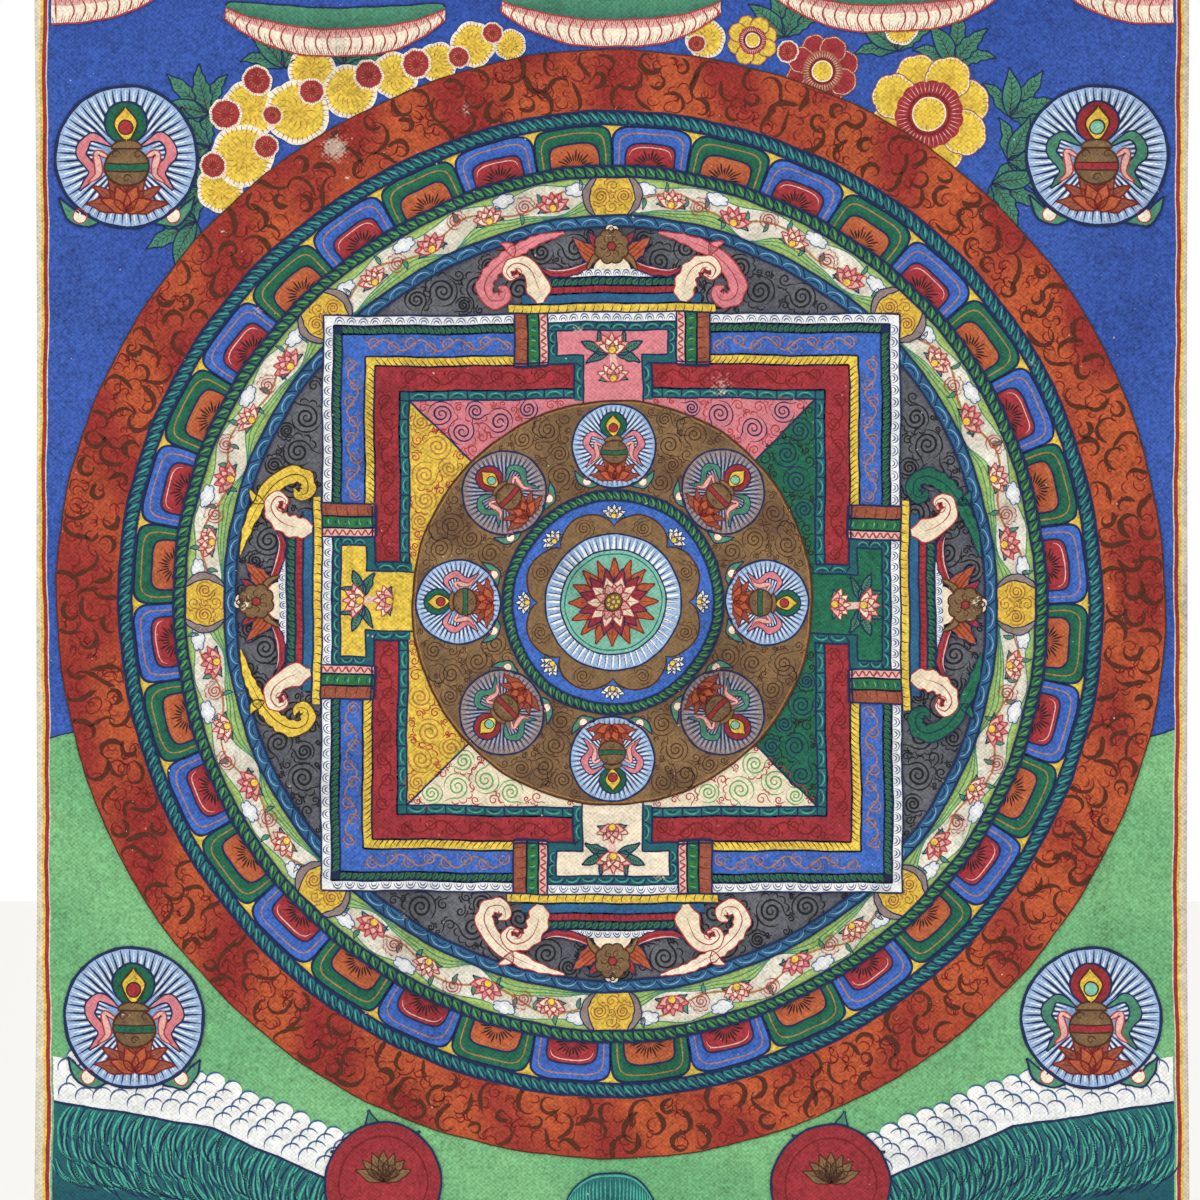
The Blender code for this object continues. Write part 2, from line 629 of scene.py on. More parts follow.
def ribbon(path: Array, width: Reals, taper: Taper = Taper.EVEN, rows: int = 2,
           closed: bool = False) -> Array:
    """A band along a path.

    Each point of the path is carried both ways along the path's normal by half the width times
    the taper's profile there, in rows even steps. The width swells and thins by a seventh in
    short waves, as a brush does.

    Args:
        path: the middle line, or many of them with leading axes.
        width: the full width, one number or one for each path.
        taper: how the width runs.
        rows: points across.
        closed: whether the path's end joins its start.

    Returns:
        The band's grid, with rows before the points along it.
    """
    path = np.asarray(path, float)
    if closed:
        ahead = np.roll(path, -1, -2) - np.roll(path, 1, -2)
    else:
        ahead = np.gradient(path, axis=-2)
    ahead = ahead / np.maximum(np.linalg.norm(ahead, axis=-1, keepdims=True), 1e-9)
    normal = pair(-ahead[..., 1], ahead[..., 0])
    half = 0.5 * np.multiply.outer(np.asarray(width, float), taper.profile(path.shape[-2]))
    half = half * (1.0 + 0.15 * np.sin(path[..., 0] * 1.9 + path[..., 1] * 1.3))
    steps = np.linspace(-1.0, 1.0, rows)[:, None, None]
    return path[..., None, :, :] + steps * half[..., None, :, None] * normal[..., None, :, :]


class Motif:
    """A drawing of fills and brush lines, kept as grids of places to stamp where it is wanted."""

    def __init__(self) -> None:
        """Starts an empty drawing."""
        self.marks: list[tuple] = []

    def put(self, points: Array, pigment: Pigment, level: int = 0, shade: Reals = 0.0,
            closed: bool = False, pole: bool = False) -> None:
        """Lays one grid, or many with leading axes.

        Args:
            points: places by row and column.
            pigment: the paint.
            level: the layer it lies in.
            shade: from 0, plain, to 1, shaded, one number or an array that fits the grid.
            closed: whether the last column joins the first.
            pole: whether the first row is a single place.
        """
        self.marks.append((points, pigment, level, shade, closed, pole))

    def stamp(self, film: "Motif", places: Array, turns: Reals = 0.0, sizes: Reals = 1.0,
              level: int = 0) -> None:
        """Lays a copy of the whole drawing at each place.

        Args:
            film: what is painted on.
            places: the copies' places.
            turns: their angles in radians.
            sizes: their sizes.
            level: the layer of their lowest paint.
        """
        for points, pigment, own, *rest in self.marks:
            film.put(stamped(points, places, turns, sizes), pigment, level + own, *rest)

    def line(self, path: Array, width: Reals, pigment: Pigment, level: int = 0,
             taper: Taper = Taper.EVEN, closed: bool = False) -> None:
        """Draws brush lines along paths; the arguments are those of ribbon and put."""
        self.put(ribbon(path, width, taper, closed=closed), pigment, level, closed=closed)

    def shape(self, outline: Array, pigment: Pigment, level: int = 0, shade: Tones = (0.0, 0.0),
              rings: int = 2, edge: Pigment | None = None, edge_width: float = 0.38) -> None:
        """Fills a closed outline, or many, from the middle, as rings that grow evenly from it.

        Args:
            outline: the outline's places.
            pigment: the paint.
            level: the layer it lies in.
            shade: the shade at the middle and at the outline.
            rings: how many rings the fill has.
            edge: the paint of a line on the outline, if it has one.
            edge_width: that line's width.
        """
        middle = outline.mean(-2, keepdims=True)
        steps = np.linspace(0.0, 1.0, rings + 1)
        grid = middle[..., None, :, :] + steps[:, None, None] * (outline - middle)[..., None, :, :]
        self.put(grid, pigment, level, np.linspace(*shade, rings + 1)[:, None], closed=True, pole=True)
        if edge:
            self.line(outline, edge_width, edge, level + 1, closed=True)

    def blade(self, path: Array, width: Reals, pigment: Pigment, level: int = 0,
              taper: Taper = Taper.LEAF, shade: Tones = (0.0, 0.0), edge: Pigment | None = None,
              edge_width: float = 0.32, vein: Pigment | None = None) -> None:
        """Fills a petal, leaf or flame, or many, along its spine.

        Args:
            path: the spine.
            width: the full width.
            pigment: the paint.
            level: the layer it lies in.
            taper: how the width runs.
            shade: the shade at the spine's start and at its end.
            edge: the paint of its outline, if it has one.
            edge_width: the outline's width.
            vein: the paint of a line along the spine, if it has one.
        """
        grid = ribbon(path, width, taper, rows=5)
        self.put(grid, pigment, level, np.linspace(*shade, grid.shape[-2]))
        if edge:
            self.line(grid[..., 0, :, :], edge_width, edge, level + 1)
            self.line(grid[..., -1, :, :], edge_width, edge, level + 1)
        if vein:
            self.line(path, edge_width * 0.8, vein, level + 1, Taper.TAIL)


# The painting's rubbed places, the worst on the flame ring, the walls and the gold disc: across,
# up and reach in millimetres, and how bare each is
SCUFFS = (
    (-72.0, 118.0, 4.5, 1.0), (-36.0, 55.0, 7.0, 0.30), (28.0, 56.5, 4.5, 0.75),
    (18.0, -28.0, 9.0, 0.34), (-12.0, 33.0, 7.0, 0.28), (3.0, 133.0, 5.0, 0.35),
    (97.0, 32.0, 9.0, 0.25), (-118.0, -62.0, 10.0, 0.28), (60.0, -112.0, 9.0, 0.25),
    (-9.0, 71.0, 2.4, 0.8), (0.0, -105.0, 12.0, 0.2), (-101.0, 97.0, 1.4, 1.0),
    (52.0, -14.0, 6.0, 0.25), (12.0, -71.0, 2.2, 0.8), (-92.0, 76.0, 2.0, 0.8),
    (-97.0, -24.0, 2.6, 0.55), (-54.0, -81.0, 3.0, 0.6), (86.0, -69.0, 2.4, 0.65),
    (-38.0, 128.0, 2.6, 0.7), (31.0, -102.0, 3.0, 0.55), (109.0, 62.0, 2.2, 0.6),
    (-62.0, 26.0, 2.0, 0.6),
)


def dress(mesh: bpy.types.Mesh, tones: dict[str, Array], spots: Array) -> None:
    """Gives a mesh its attributes, its map and the edges of its faces.

    Args:
        mesh: the mesh.
        tones: the attributes' values at its vertices, by name.
        spots: the map's place for each face corner.
    """
    for name, values in tones.items():
        mesh.attributes.new(name, "FLOAT", "POINT").data.foreach_set("value", values.astype(np.float32))
    mesh.uv_layers.new(name="OFBake").data.foreach_set("uv", spots.astype(np.float32).ravel())
    mesh.update(calc_edges=True)


class PaintFilm(Motif):
    """The paint of one part of the picture, gathered layer by layer and made one mesh."""

    def __init__(self, cloth: Cloth, base: int) -> None:
        """Starts an empty film on a cloth, above so many layers of other paint."""
        super().__init__()
        self.cloth, self.base = cloth, base

    def spread(self, points: Array, shade: Reals, closed: bool, pole: bool) -> tuple[Array, Array, Array]:
        """Turns one mark into faces of four corners that all turn towards the viewer.

        Args:
            points: the mark's grid, or many with leading axes.
            shade: its shade, which fits the grid.
            closed: whether the last column joins the first.
            pole: whether the first row is a single place.

        Returns:
            Its places and its faces as flat lists, and its places' shades. At a pole a face's first
            corner is also its last or its second.
        """
        rows, columns = points.shape[-3:-1]
        shade = np.broadcast_to(shade, points.shape[:-1]).reshape(-1, rows * columns)
        places = points.reshape(-1, rows * columns, 2)
        spots = np.arange(rows * columns).reshape(rows, columns)
        if pole:
            places = np.concatenate([places[:, :1], places[:, columns:]], 1)
            shade = np.concatenate([shade[:, :1], shade[:, columns:]], 1)
            spots = np.maximum(spots - columns + 1, 0)
        if closed:
            spots = np.concatenate([spots, spots[:, :1]], 1)
        quads = np.stack([spots[:-1, :-1], spots[:-1, 1:], spots[1:, 1:], spots[1:, :-1]], -1).reshape(-1, 4)
        tips = quads[:, 0] == quads[:, 1]
        quads[tips] = quads[tips][:, [0, 2, 3, 0]]
        faces = (quads + np.arange(len(places))[:, None, None] * places.shape[1]).reshape(-1, 4)
        corners = places.reshape(-1, 2)[faces]
        first, second = corners[:, 2] - corners[:, 0], corners[:, 3] - corners[:, 1]
        away = first[:, 0] * second[:, 1] - first[:, 1] * second[:, 0] < 0
        faces[away] = faces[away][:, [0, 3, 2, 1]]
        return places.reshape(-1, 2), faces, shade.reshape(-1)

    def hand_drawn(self, places: Array) -> Array:
        """Moves places by up to a millimetre in waves of four lengths, as a hand does.

        Args:
            places: the places.

        Returns:
            The moved places.
        """
        x, z = places[:, 0], places[:, 1]
        right = 0.40 * np.sin(x / 37 + z / 61 + 1.3) + 0.26 * np.sin(z / 17 - x / 49)
        right = right + 0.13 * np.sin(z / 4.1 + x / 9.0) + 0.07 * np.sin(z / 1.3 - x / 2.1)
        up = 0.42 * np.sin(z / 43 - x / 53 + 0.7) + 0.26 * np.sin(x / 16 + z / 57)
        up = up + 0.13 * np.sin(x / 3.7 - z / 8.0) + 0.07 * np.sin(x / 1.4 + z / 2.3)
        return places + pair(right, up)

    def build(self, name: str) -> bpy.types.Mesh:
        """Makes the mesh, lowest layer first, with its attributes, materials and map.

        Each layer has its own tile in the map, so no two layers share a place in it.

        Args:
            name: the mesh's name.

        Returns:
            The mesh.
        """
        marks = sorted(self.marks, key=lambda mark: mark[2])
        flats, faces, tones = zip(*(self.spread(points, *rest) for points, _, _, *rest in marks))
        counts = [len(flat) for flat in flats]
        sizes = [len(part) for part in faces]
        faces = np.concatenate([part + start for part, start in zip(faces, np.cumsum([0] + counts[:-1]))])
        level = np.repeat([mark[2] for mark in marks], counts)
        places = self.hand_drawn(np.concatenate(flats))
        points = self.cloth.on_front(places, (self.base + level + 1) * LAYER)
        used = list(dict.fromkeys(mark[1] for mark in marks))
        slots = np.repeat([used.index(mark[1]) for mark in marks], sizes)
        corners = np.where((faces[:, 0] == faces[:, 1])[:, None], faces[:, [1, 2, 3, 0]], faces)
        keep = np.ones(corners.shape, bool)
        keep[corners[:, 0] == corners[:, 3], 3] = False
        starts = np.cumsum(keep.sum(1)) - keep.sum(1)
        mesh = bpy.data.meshes.new(name)
        mesh.vertices.add(len(points))
        mesh.vertices.foreach_set("co", points.astype(np.float32).ravel())
        mesh.loops.add(int(keep.sum()))
        mesh.loops.foreach_set("vertex_index", corners[keep].astype(np.int32))
        mesh.polygons.add(len(corners))
        mesh.polygons.foreach_set("loop_start", starts.astype(np.int32))
        mesh.polygons.foreach_set("material_index", slots.astype(np.int32))
        mesh.polygons.foreach_set("use_smooth", np.ones(len(corners), bool))
        for pigment in used:
            mesh.materials.append(pigment.material())
        wear = np.zeros(len(places))
        for x, z, reach, bare in SCUFFS:
            away = np.linalg.norm(places - (x, z), axis=1) / reach
            wear += bare * np.exp(-(away**2))
        known, tile = np.unique(level, return_inverse=True)
        across = math.ceil(math.sqrt(len(known)))
        low, high = places.min(0), places.max(0)
        spot = (places - low) / (high - low).max() * 0.98 + 0.01
        spot = (spot + pair(tile % across, tile // across)) / across
        dress(mesh, {"shade": np.concatenate(tones), "wear": np.minimum(wear, 1.0)}, spot[corners[keep]])
        return mesh


def between(first: Array, second: Array, rows: int) -> Array:
    """A grid whose rows go in even steps from one outline to another of as many places."""
    steps = np.linspace(0.0, 1.0, rows)[:, None, None]
    return first[..., None, :, :] * (1.0 - steps) + second[..., None, :, :] * steps


def round_track(inner: float, middle: float) -> Track:
    """A track round the great circle: the angle is the length along it over the middle radius."""
    return lambda along, out: polar(inner + out, along / middle)


def wall_track(start: float, inner: float, twin: bool = True) -> Track:
    """A straight track on each side of the palace, its length along the side, its depth outwards.

    Args:
        start: where it starts, from the middle of the side.
        inner: its distance from the palace's middle.
        twin: whether it is mirrored about the middle of each side.

    Returns:
        The track.
    """
    both = mirrored if twin else np.asarray
    return lambda along, out: spun(both(pair(start + along, inner + out)), 4)


def post_track(across: float, foot: float) -> Track:
    """An upright track on both sides of each gate: its length runs outwards from the foot."""
    return lambda along, out: wall_track(across, foot)(out, along)


class Lay(Enum):
    """What a painted border is filled with."""

    PLAIN = "plain"
    BEADS = "leaning beads of a cord"
    LEAVES = "leaning leaves of a cord"
    CELLS = "long cells with an arch in each"
    TWIST = "leaning hairlines"
    DENTIL = "a row of small arches"
    ZIGZAG = "a wavy line"
    SCROLL = "a running scroll"


@dataclass(frozen=True)
class Border:
    """One painted border, whatever it runs along. Lengths are in millimetres."""

    depth: float
    pitch: float
    lay: Lay
    ground: Pigment
    strand: Pigment = INK
    gleam: Pigment = INK
    lean: float = 0.7
    edge: float = 0.45
    stroke: float = 0.30

    def paint(self, film: Motif, track: Track, length: float, level: int = 0, closed: bool = False,
              mitre: bool = False) -> None:
        """Paints the border along a track.

        Args:
            film: what is painted on.
            track: turns lengths along the border and depths across it into places.
            length: how far it runs.
            level: the layer of its ground.
            closed: whether it runs all the way round.
            mitre: whether its far end is cut at 45 degrees, longer on the outside.
        """
        share = np.linspace(0.0, 1.0, max(3, math.ceil(length / 2.5)), endpoint=not closed)
        out = np.linspace(0.0, self.depth, max(3, math.ceil(self.depth / STEP)))[:, None]
        along = share * (length + out * mitre)
        tone = 0.5 * waver(pair(along, out), 17.0, 5)
        film.put(track(along, out), self.ground, level, tone, closed=closed)
        if self.lay is not Lay.PLAIN:
            self.fill(film, track, length, level + 1)
        for side in (0.0, self.depth):
            film.line(track(share * (length + side * mitre), side), self.edge, INK, level + 4, closed=closed)

    def fill(self, film: Motif, track: Track, length: float, level: int) -> None:
        """Paints what fills the border; each kind is a stroke repeated at the pitch.

        Args:
            film: what is painted on.
            track: the border's track.
            length: how far it runs.
            level: the layer of the lowest stroke.
        """
        count = max(1, round(length / self.pitch))
        pitch = length / count
        middles = (np.arange(count) + 0.5) * pitch
        depth = self.depth

        def lay(path: Array, width: float, pigment: Pigment, rise: int, taper: Taper = Taper.EVEN,
                rows: int = 2) -> None:
            """Lays strokes given as lengths along and depths across the track."""
            grid = ribbon(path, width, taper, rows)
            film.put(track(grid[..., 0], grid[..., 1]), pigment, level + rise)

        def leaning(low: float, high: float, shift: float = 0.0, bow: float = 0.0) -> Array:
            """One leaning stroke in each step, from a low share of the depth to a high one.

            Args:
                low: the share where it starts.
                high: the share where it ends.
                shift: how many steps it is moved along.
                bow: how many millimetres its middle is moved along.

            Returns:
                The strokes' places, one row a stroke.
            """
            t = np.linspace(0.0, 1.0, 9)
            across = (low + (high - low) * t) * depth
            offset = (across - depth / 2) * self.lean + bow * np.sin(math.pi * t) + shift * pitch
            return pair(middles[:, None] + offset, across)

        if self.lay in (Lay.BEADS, Lay.LEAVES):
            bead = self.lay is Lay.BEADS
            strokes = (
                # low and high share, shift and bow, and the width as a share of the pitch
                (0.14, 0.86, 0.0, 0.2, 0.66), (0.24, 0.78, -0.16, 0.15, 0.13), (0.26, 0.66, 0.14, 0.15, 0.10),
            ) if bead else (
                (0.06, 0.94, 0.0, 0.1, 0.78), (0.20, 0.80, -0.17, 0.1, 0.13), (0.22, 0.84, 0.09, 0.1, 0.15),
            )
            looks = (
                (self.strand, 0, Taper.BEAD if bead else Taper.LEAF, 3),
                (self.gleam, 1, Taper.POINTED), (INK, 1, Taper.POINTED),
            )
            for (*place, share), look in zip(strokes, looks):
                lay(leaning(*place), share * pitch, *look)
        elif self.lay is Lay.TWIST:
            lay(leaning(0.08, 0.92, bow=0.25), 0.30, self.strand, 0, Taper.TAIL)
        elif self.lay in (Lay.CELLS, Lay.DENTIL):
            turn = np.linspace(0.0, math.pi, 15)
            rise = 0.55 if self.lay is Lay.CELLS else 0.62
            for size, pigment in ((1.0, self.gleam), (0.55, self.strand)):
                x = middles[:, None] + 0.40 * size * pitch * np.cos(turn)
                z = depth * (0.16 + rise * size * np.sin(turn))
                lay(pair(x, z), 0.30, pigment, 1, Taper.POINTED)
            if self.lay is Lay.CELLS:
                lay(leaning(0.0, 1.0, 0.5), 0.36, self.strand, 0)
        elif self.lay is Lay.ZIGZAG:
            along = np.linspace(0.0, length, count * 8)
            wave = depth * (0.5 + 0.26 * np.sin(along / pitch * TAU))
            lay(pair(along, wave), 0.42, self.strand, 0)
        elif self.lay is Lay.SCROLL:
            hands = np.where(np.arange(count) % 2, 1.0, -1.0)
            along = np.linspace(0.3 * pitch, length - 0.3 * pitch, count * 12)
            wave = depth * (0.5 - 0.24 * np.cos(along / pitch * math.pi))
            lay(pair(along, wave), self.stroke, self.strand, 0)
            centres = pair(middles, depth * (0.5 + 0.10 * hands))
            for hand in (1.0, -1.0):
                mine = centres[hands == hand]
                if len(mine):
                    whirl = stamped(volute(1.9) * (hand, 1.0), mine, -0.5 * hand * math.pi, 0.30 * depth)
                    lay(whirl, self.stroke, self.strand, 1, Taper.TAIL)
                    tick = stamped(curls([0.6, 1.2], [1.7, 1.7], [2.2, 1.6]), mine, 0.0, 0.14 * depth)
                    tick = tick + (0.42 * pitch, 0.14 * depth * hand)
                    lay(tick, self.stroke * 0.8, self.gleam, 0, Taper.TAIL)


@dataclass(frozen=True)
class Plan:
    """The picture's driving sizes, in millimetres: radii of circles, and halves of what is square."""

    flame_outer: float = 143.8
    flame_inner: float = 127.8
    lotus_outer: float = 124.3
    lotus_inner: float = 113.6
    vine_outer: float = 110.6
    vine_inner: float = 100.5
    field: float = 97.5
    palace: float = 75.0
    gate: float = 25.5
    # Half the doorway's width, without its frame and with it
    door: float = 7.7
    jamb: float = 10.1
    court: float = 52.8
    disc: float = 52.0
    centre: float = 28.75
    picture_width: float = 146.0
    picture_height: float = 201.0


PLAN = Plan()
# The colours of the four directions, anticlockwise from the top side
SIDE_PAINTS = (Pigment.PINK, Pigment.ORPIMENT, Pigment.CREAM, Pigment.MALACHITE)
QUARTERS = np.arange(4) * math.pi / 2  # the turn from the top side to each of the four


@dataclass
class Part:
    """What every painted part of the picture has: its cloth, its name and the paint below it."""

    cloth: Cloth
    name: str = "part"
    base: int = 0

    def paint(self, film: PaintFilm) -> None:
        """Paints the part on its film."""
        raise NotImplementedError

    def mesh(self) -> bpy.types.Mesh:
        """Makes the part's paint one mesh.

        Returns:
            The mesh.
        """
        film = PaintFilm(self.cloth, self.base)
        self.paint(film)
        return film.build(self.name)

    def build(self) -> bpy.types.Object:
        """Makes the part's piece and ties it to the frame.

        Returns:
            The piece's object.
        """
        piece = bpy.data.objects.new(self.name, self.mesh())
        bpy.context.scene.collection.objects.link(piece)
        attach(piece, "root")
        return piece


@dataclass
class Canvas(Part):
    """The cotton cloth itself, primed on its front and raw on its back."""

    name: str = "cotton_canvas"
    columns: int = 120
    rows: int = 164

    def mesh(self) -> bpy.types.Mesh:
        """Makes the cloth as one closed sheet.

        The share across and the share down give the place: the sides bow in by a sine of the
        share down, and the foot dips by the square of the distance from its ends.

        Returns:
            The cloth's mesh.
        """
        across = np.linspace(-1.0, 1.0, self.columns + 1)
        down = np.linspace(0.0, 1.0, self.rows + 1)[:, None]
        cloth = self.cloth
        x = across * (cloth.width / 2 - cloth.side_bow * np.sin(math.pi * down))
        drop = down * (cloth.height - cloth.hem_dip * across**2)
        middle = np.stack([x, -cloth.lift(x, drop), -drop], -1)
        half = np.array([0.0, cloth.thickness / 2, 0.0])
        points = np.concatenate([(middle - half).reshape(-1, 3), (middle + half).reshape(-1, 3)])
        spots = np.arange(middle[..., 0].size).reshape(middle.shape[:2])
        front = np.stack([spots[:-1, :-1], spots[1:, :-1], spots[1:, 1:], spots[:-1, 1:]], -1).reshape(-1, 4)
        rim = np.concatenate([spots[0, :-1], spots[:-1, -1], spots[-1, :0:-1], spots[:0:-1, 0]])
        after = np.roll(rim, -1)
        edge = np.stack([rim, after, after + spots.size, rim + spots.size], -1)
        faces = np.concatenate([front, front[:, ::-1] + spots.size, edge])
        mesh = bpy.data.meshes.new(self.name)
        mesh.from_pydata(points, [], faces)
        order = np.arange(len(faces))
        mesh.polygons.foreach_set("use_smooth", order < len(front) * 2)
        mesh.polygons.foreach_set("material_index", (order >= len(front)).astype(np.int32))
        mesh.materials.append(Pigment.CHALK_GROUND.material())
        mesh.materials.append(Pigment.RAW_COTTON.material())
        flat = (points[:, [0, 2]] - points[:, [0, 2]].min(0)) / cloth.height * 0.49 + 0.005
        flat[spots.size:, 0] += 0.5
        dress(mesh, {"shade": np.full(len(points), 0.3)}, flat[faces.ravel()])
        return mesh


@dataclass
class SkyAndFields(Part):
    """The blue sky above the circle, the green fields below it, and the picture's border."""

    name: str = "sky_and_fields"

    def paint(self, film: PaintFilm) -> None:
        """Two broad grids meet on a low wavy skyline, inside a plain crimson and yellow line.

        Args:
            film: what is painted on.
        """
        wide, tall = PLAN.picture_width, PLAN.picture_height
        x = np.linspace(-wide, wide, 99)
        skyline = -34.0 + 4.0 * np.sin(x / 21.0) + 2.0 * np.sin(x / 8.0)
        share = np.linspace(0.0, 1.0, 80)[:, None]
        sky = pair(x, skyline + (tall - skyline) * share)
        tone = np.clip((sky[..., 1] - 120.0) / 110.0, 0.0, 0.7) + 0.5 * waver(sky, 60.0, 1) - 0.1
        film.put(sky, Pigment.AZURITE_SKY, 0, np.clip(tone, 0.0, 1.0))
        share = np.linspace(0.0, 1.0, 60)[:, None]
        fields = pair(x, -tall + (skyline + tall) * share)
        film.put(fields, Pigment.PALE_MALACHITE, 0, 0.6 * waver(fields, 45.0, 2))
        film.line(pair(x, skyline), 0.4, INK, 1)
        for grow, width, pigment, level in ((0.3, 1.5, Pigment.CINNABAR, 1), (1.3, 0.7, Pigment.ORPIMENT, 2)):
            film.put(self.rim(grow, grow + width), pigment, level, 0.3, closed=True)

    def rim(self, inner: float, outer: float) -> Array:
        """A frame of even width round the picture, as two rows of places.

        Args:
            inner: how far its inner line stands off the picture.
            outer: how far its outer line does.

        Returns:
            The frame's grid.
        """
        run, corners = np.linspace(-1.0, 1.0, 100, endpoint=False), np.ones(100)
        sides = np.concatenate([
            pair(run, -corners), pair(corners, run),
            pair(-run, corners), pair(-corners, -run),
        ])
        size = np.array([PLAN.picture_width, PLAN.picture_height])
        return np.stack([sides * (size + inner), sides * (size + outer)])


def petals(count: int, length: float, bend: float = 0.0, sweep: float = 360.0, start: float = 0.0,
           root: float = 0.0, points: int = 9) -> Array:
    """Spines that fan out from the origin.

    Args:
        count: how many.
        length: how long each is.
        bend: how far the tips lean to the sides, in radians.
        sweep: degrees that they fan over.
        start: the first one's angle in degrees.
        root: how far from the origin they start.
        points: places on each.

    Returns:
        The spines' places, one row a petal.
    """
    angles = np.radians(start + np.linspace(0.0, sweep, count, endpoint=sweep < 360.0))
    run = np.linspace(0.0, 1.0, points)
    return polar(root + length * run, angles[:, None] + bend * run**2 * np.cos(angles)[:, None])


def lotus(fill: Pigment, tip: Pigment, edge: Pigment) -> Motif:
    """A lotus from the side, 10 mm wide: five petals behind, four in front, and two sepals.

    Args:
        fill: the paint of the front petals.
        tip: the paint of the petals behind.
        edge: the paint of the outlines.

    Returns:
        The motif; it grows upwards from its foot.
    """
    motif = Motif()
    motif.blade(petals(2, 4.6, -0.3, 148.0, 16.0), 1.5, Pigment.LEAF_MALACHITE, 0, edge=INK)
    motif.blade(petals(5, 5.4, -0.12, 112.0, 34.0), 2.6, tip, 1, shade=(0.9, 0.0), edge=edge)
    motif.blade(petals(4, 4.0, -0.2, 116.0, 32.0), 2.5, fill, 3, shade=(0.9, 0.0), edge=edge)
    motif.shape(arc(1.1, 0.0, 360.0, 15)[:-1] + (0.0, 0.6), Pigment.ORPIMENT, 5, rings=1, edge=edge,
                edge_width=0.25)
    return motif


def flower_head(reach: float, body: Pigment, lobes: int) -> Motif:
    """A round flower head with a pale rim and short strokes inside it.

    Args:
        reach: its radius.
        body: the paint of its face.
        lobes: how many scallops its outline has.

    Returns:
        The motif.
    """
    outline = lobed(reach, lobes, 0.07, 56)
    motif = Motif()
    motif.shape(outline, Pigment.CREAM, 0, rings=2)
    motif.shape(outline * 0.84, body, 1, (0.7, 0.0), 3)
    motif.line(petals(34, reach * 0.20, root=reach * 0.76)[:, ::2], 0.22, Pigment.BRICK, 2, Taper.TAIL)
    rays = petals(13, reach * 0.34, 0.5, root=reach * 0.28)[:, ::2]
    motif.line(rays, 0.24, Pigment.OCHRE_LINE, 2, Taper.TAIL)
    return motif


def peony(reach: float, body: Pigment, core: Pigment) -> Motif:
    """A flower from above: eight round petals with pale rims, a ring, and a yellow ball at its heart.

    Args:
        reach: its radius.
        body: the paint of its petals.
        core: the paint of the ring.

    Returns:
        The motif.
    """
    motif = Motif()
    for turn in range(2):
        places = polar(reach * 0.64, np.arange(turn, 8, 2) * TAU / 8 + 0.3)
        petal = lobed(reach * 0.37, 7, 0.06, 56)
        level = 3 * turn
        motif.shape(stamped(petal, places), Pigment.CREAM, level, rings=2)
        motif.shape(stamped(petal * 0.92, places), body, level + 1, (0.6, 0.0), 3)
        ticks = petals(30, reach * 0.06, root=reach * 0.30)[:, ::4]
        motif.line(stamped(ticks, places), 0.22, Pigment.BRICK, level + 2, Taper.TAIL)
        motif.line(stamped(petal, places), 0.26, Pigment.BRICK, level + 2, closed=True)
    motif.shape(lobed(reach * 0.56, 15, 0.05, 120), core, 6, (0.9, 0.0), 4)
    motif.line(petals(40, reach * 0.16, root=reach * 0.37)[:, ::2], 0.24, Pigment.SHELL_PINK, 7, Taper.TAIL)
    motif.line(ring(reach * 0.33, 48), 0.5, Pigment.LAC, 7, closed=True)
    motif.shape(ring(reach * 0.27, 36), Pigment.ORPIMENT, 8, (0.5, 0.0), 2, Pigment.CREAM, 0.35)
    motif.line(petals(18, reach * 0.05, root=reach * 0.21)[:, ::4], 0.22, Pigment.BRICK, 9, Taper.TAIL)
    return motif


def spray(blades: int, length: float, spread: float) -> Motif:
    """A fan of lance-shaped leaves with dark outlines, brown midribs and dark side veins.

    Args:
        blades: how many leaves.
        length: the longest one's length.
        spread: degrees that they fan over.

    Returns:
        The motif; it grows upwards from its root.
    """
    motif = Motif()
    run = np.linspace(0.0, 1.0, 21)
    for number, lean in enumerate(np.radians(np.linspace(-spread / 2, spread / 2, blades))):
        reach = length * (1.0 - 0.22 * abs(lean))
        spine = polar(reach * run, math.pi / 2 + lean * (1.0 + 0.3 * run**2))
        level = 2 * (number % 2)
        motif.blade(spine, reach * 0.34, Pigment.LEAF_MALACHITE, level, Taper.LEAF, (0.9, 0.0),
                    INK, 0.38, Pigment.UMBER)
        for side in (-0.8, 0.8):
            vein = polar(reach * np.linspace(0.0, 0.17, 5), math.pi / 2 + lean + side)
            motif.line(spine[3:17:2, None] + vein, 0.2, INK, level + 1, Taper.TAIL)
    return motif


def halo(ground: Pigment, ray: Pigment, reach: float = 10.9) -> Motif:
    """A disc with pale and dark rays, and green leaves at its foot.

    Args:
        ground: the disc's paint.
        ray: the paint of its pale rays.
        reach: the disc's radius.

    Returns:
        The motif.
    """
    motif = Motif()
    for side in (-1.0, 1.0):
        leaf = smooth([(side * 4.0, -10.0), (side * 8.0, -9.4), (side * 10.4, -6.2)], 14)
        motif.blade(leaf, 2.2, Pigment.LEAF_MALACHITE, 0, edge=INK)
        motif.shape(ring(1.1, 14) + (side * 7.2, -9.2), Pigment.CREAM, 1, rings=1, edge=CRIMSON,
                    edge_width=0.2)
    motif.shape(ring(reach, 72), ground, 1, (0.9, 0.1), 4, INK, 0.5)
    motif.line(petals(48, reach - 4.6, root=4.2), 0.24, ray, 2, Taper.POINTED)
    motif.line(petals(48, reach - 4.2, start=3.75, root=4.0), 0.34, INK, 2, Taper.POINTED)
    return motif


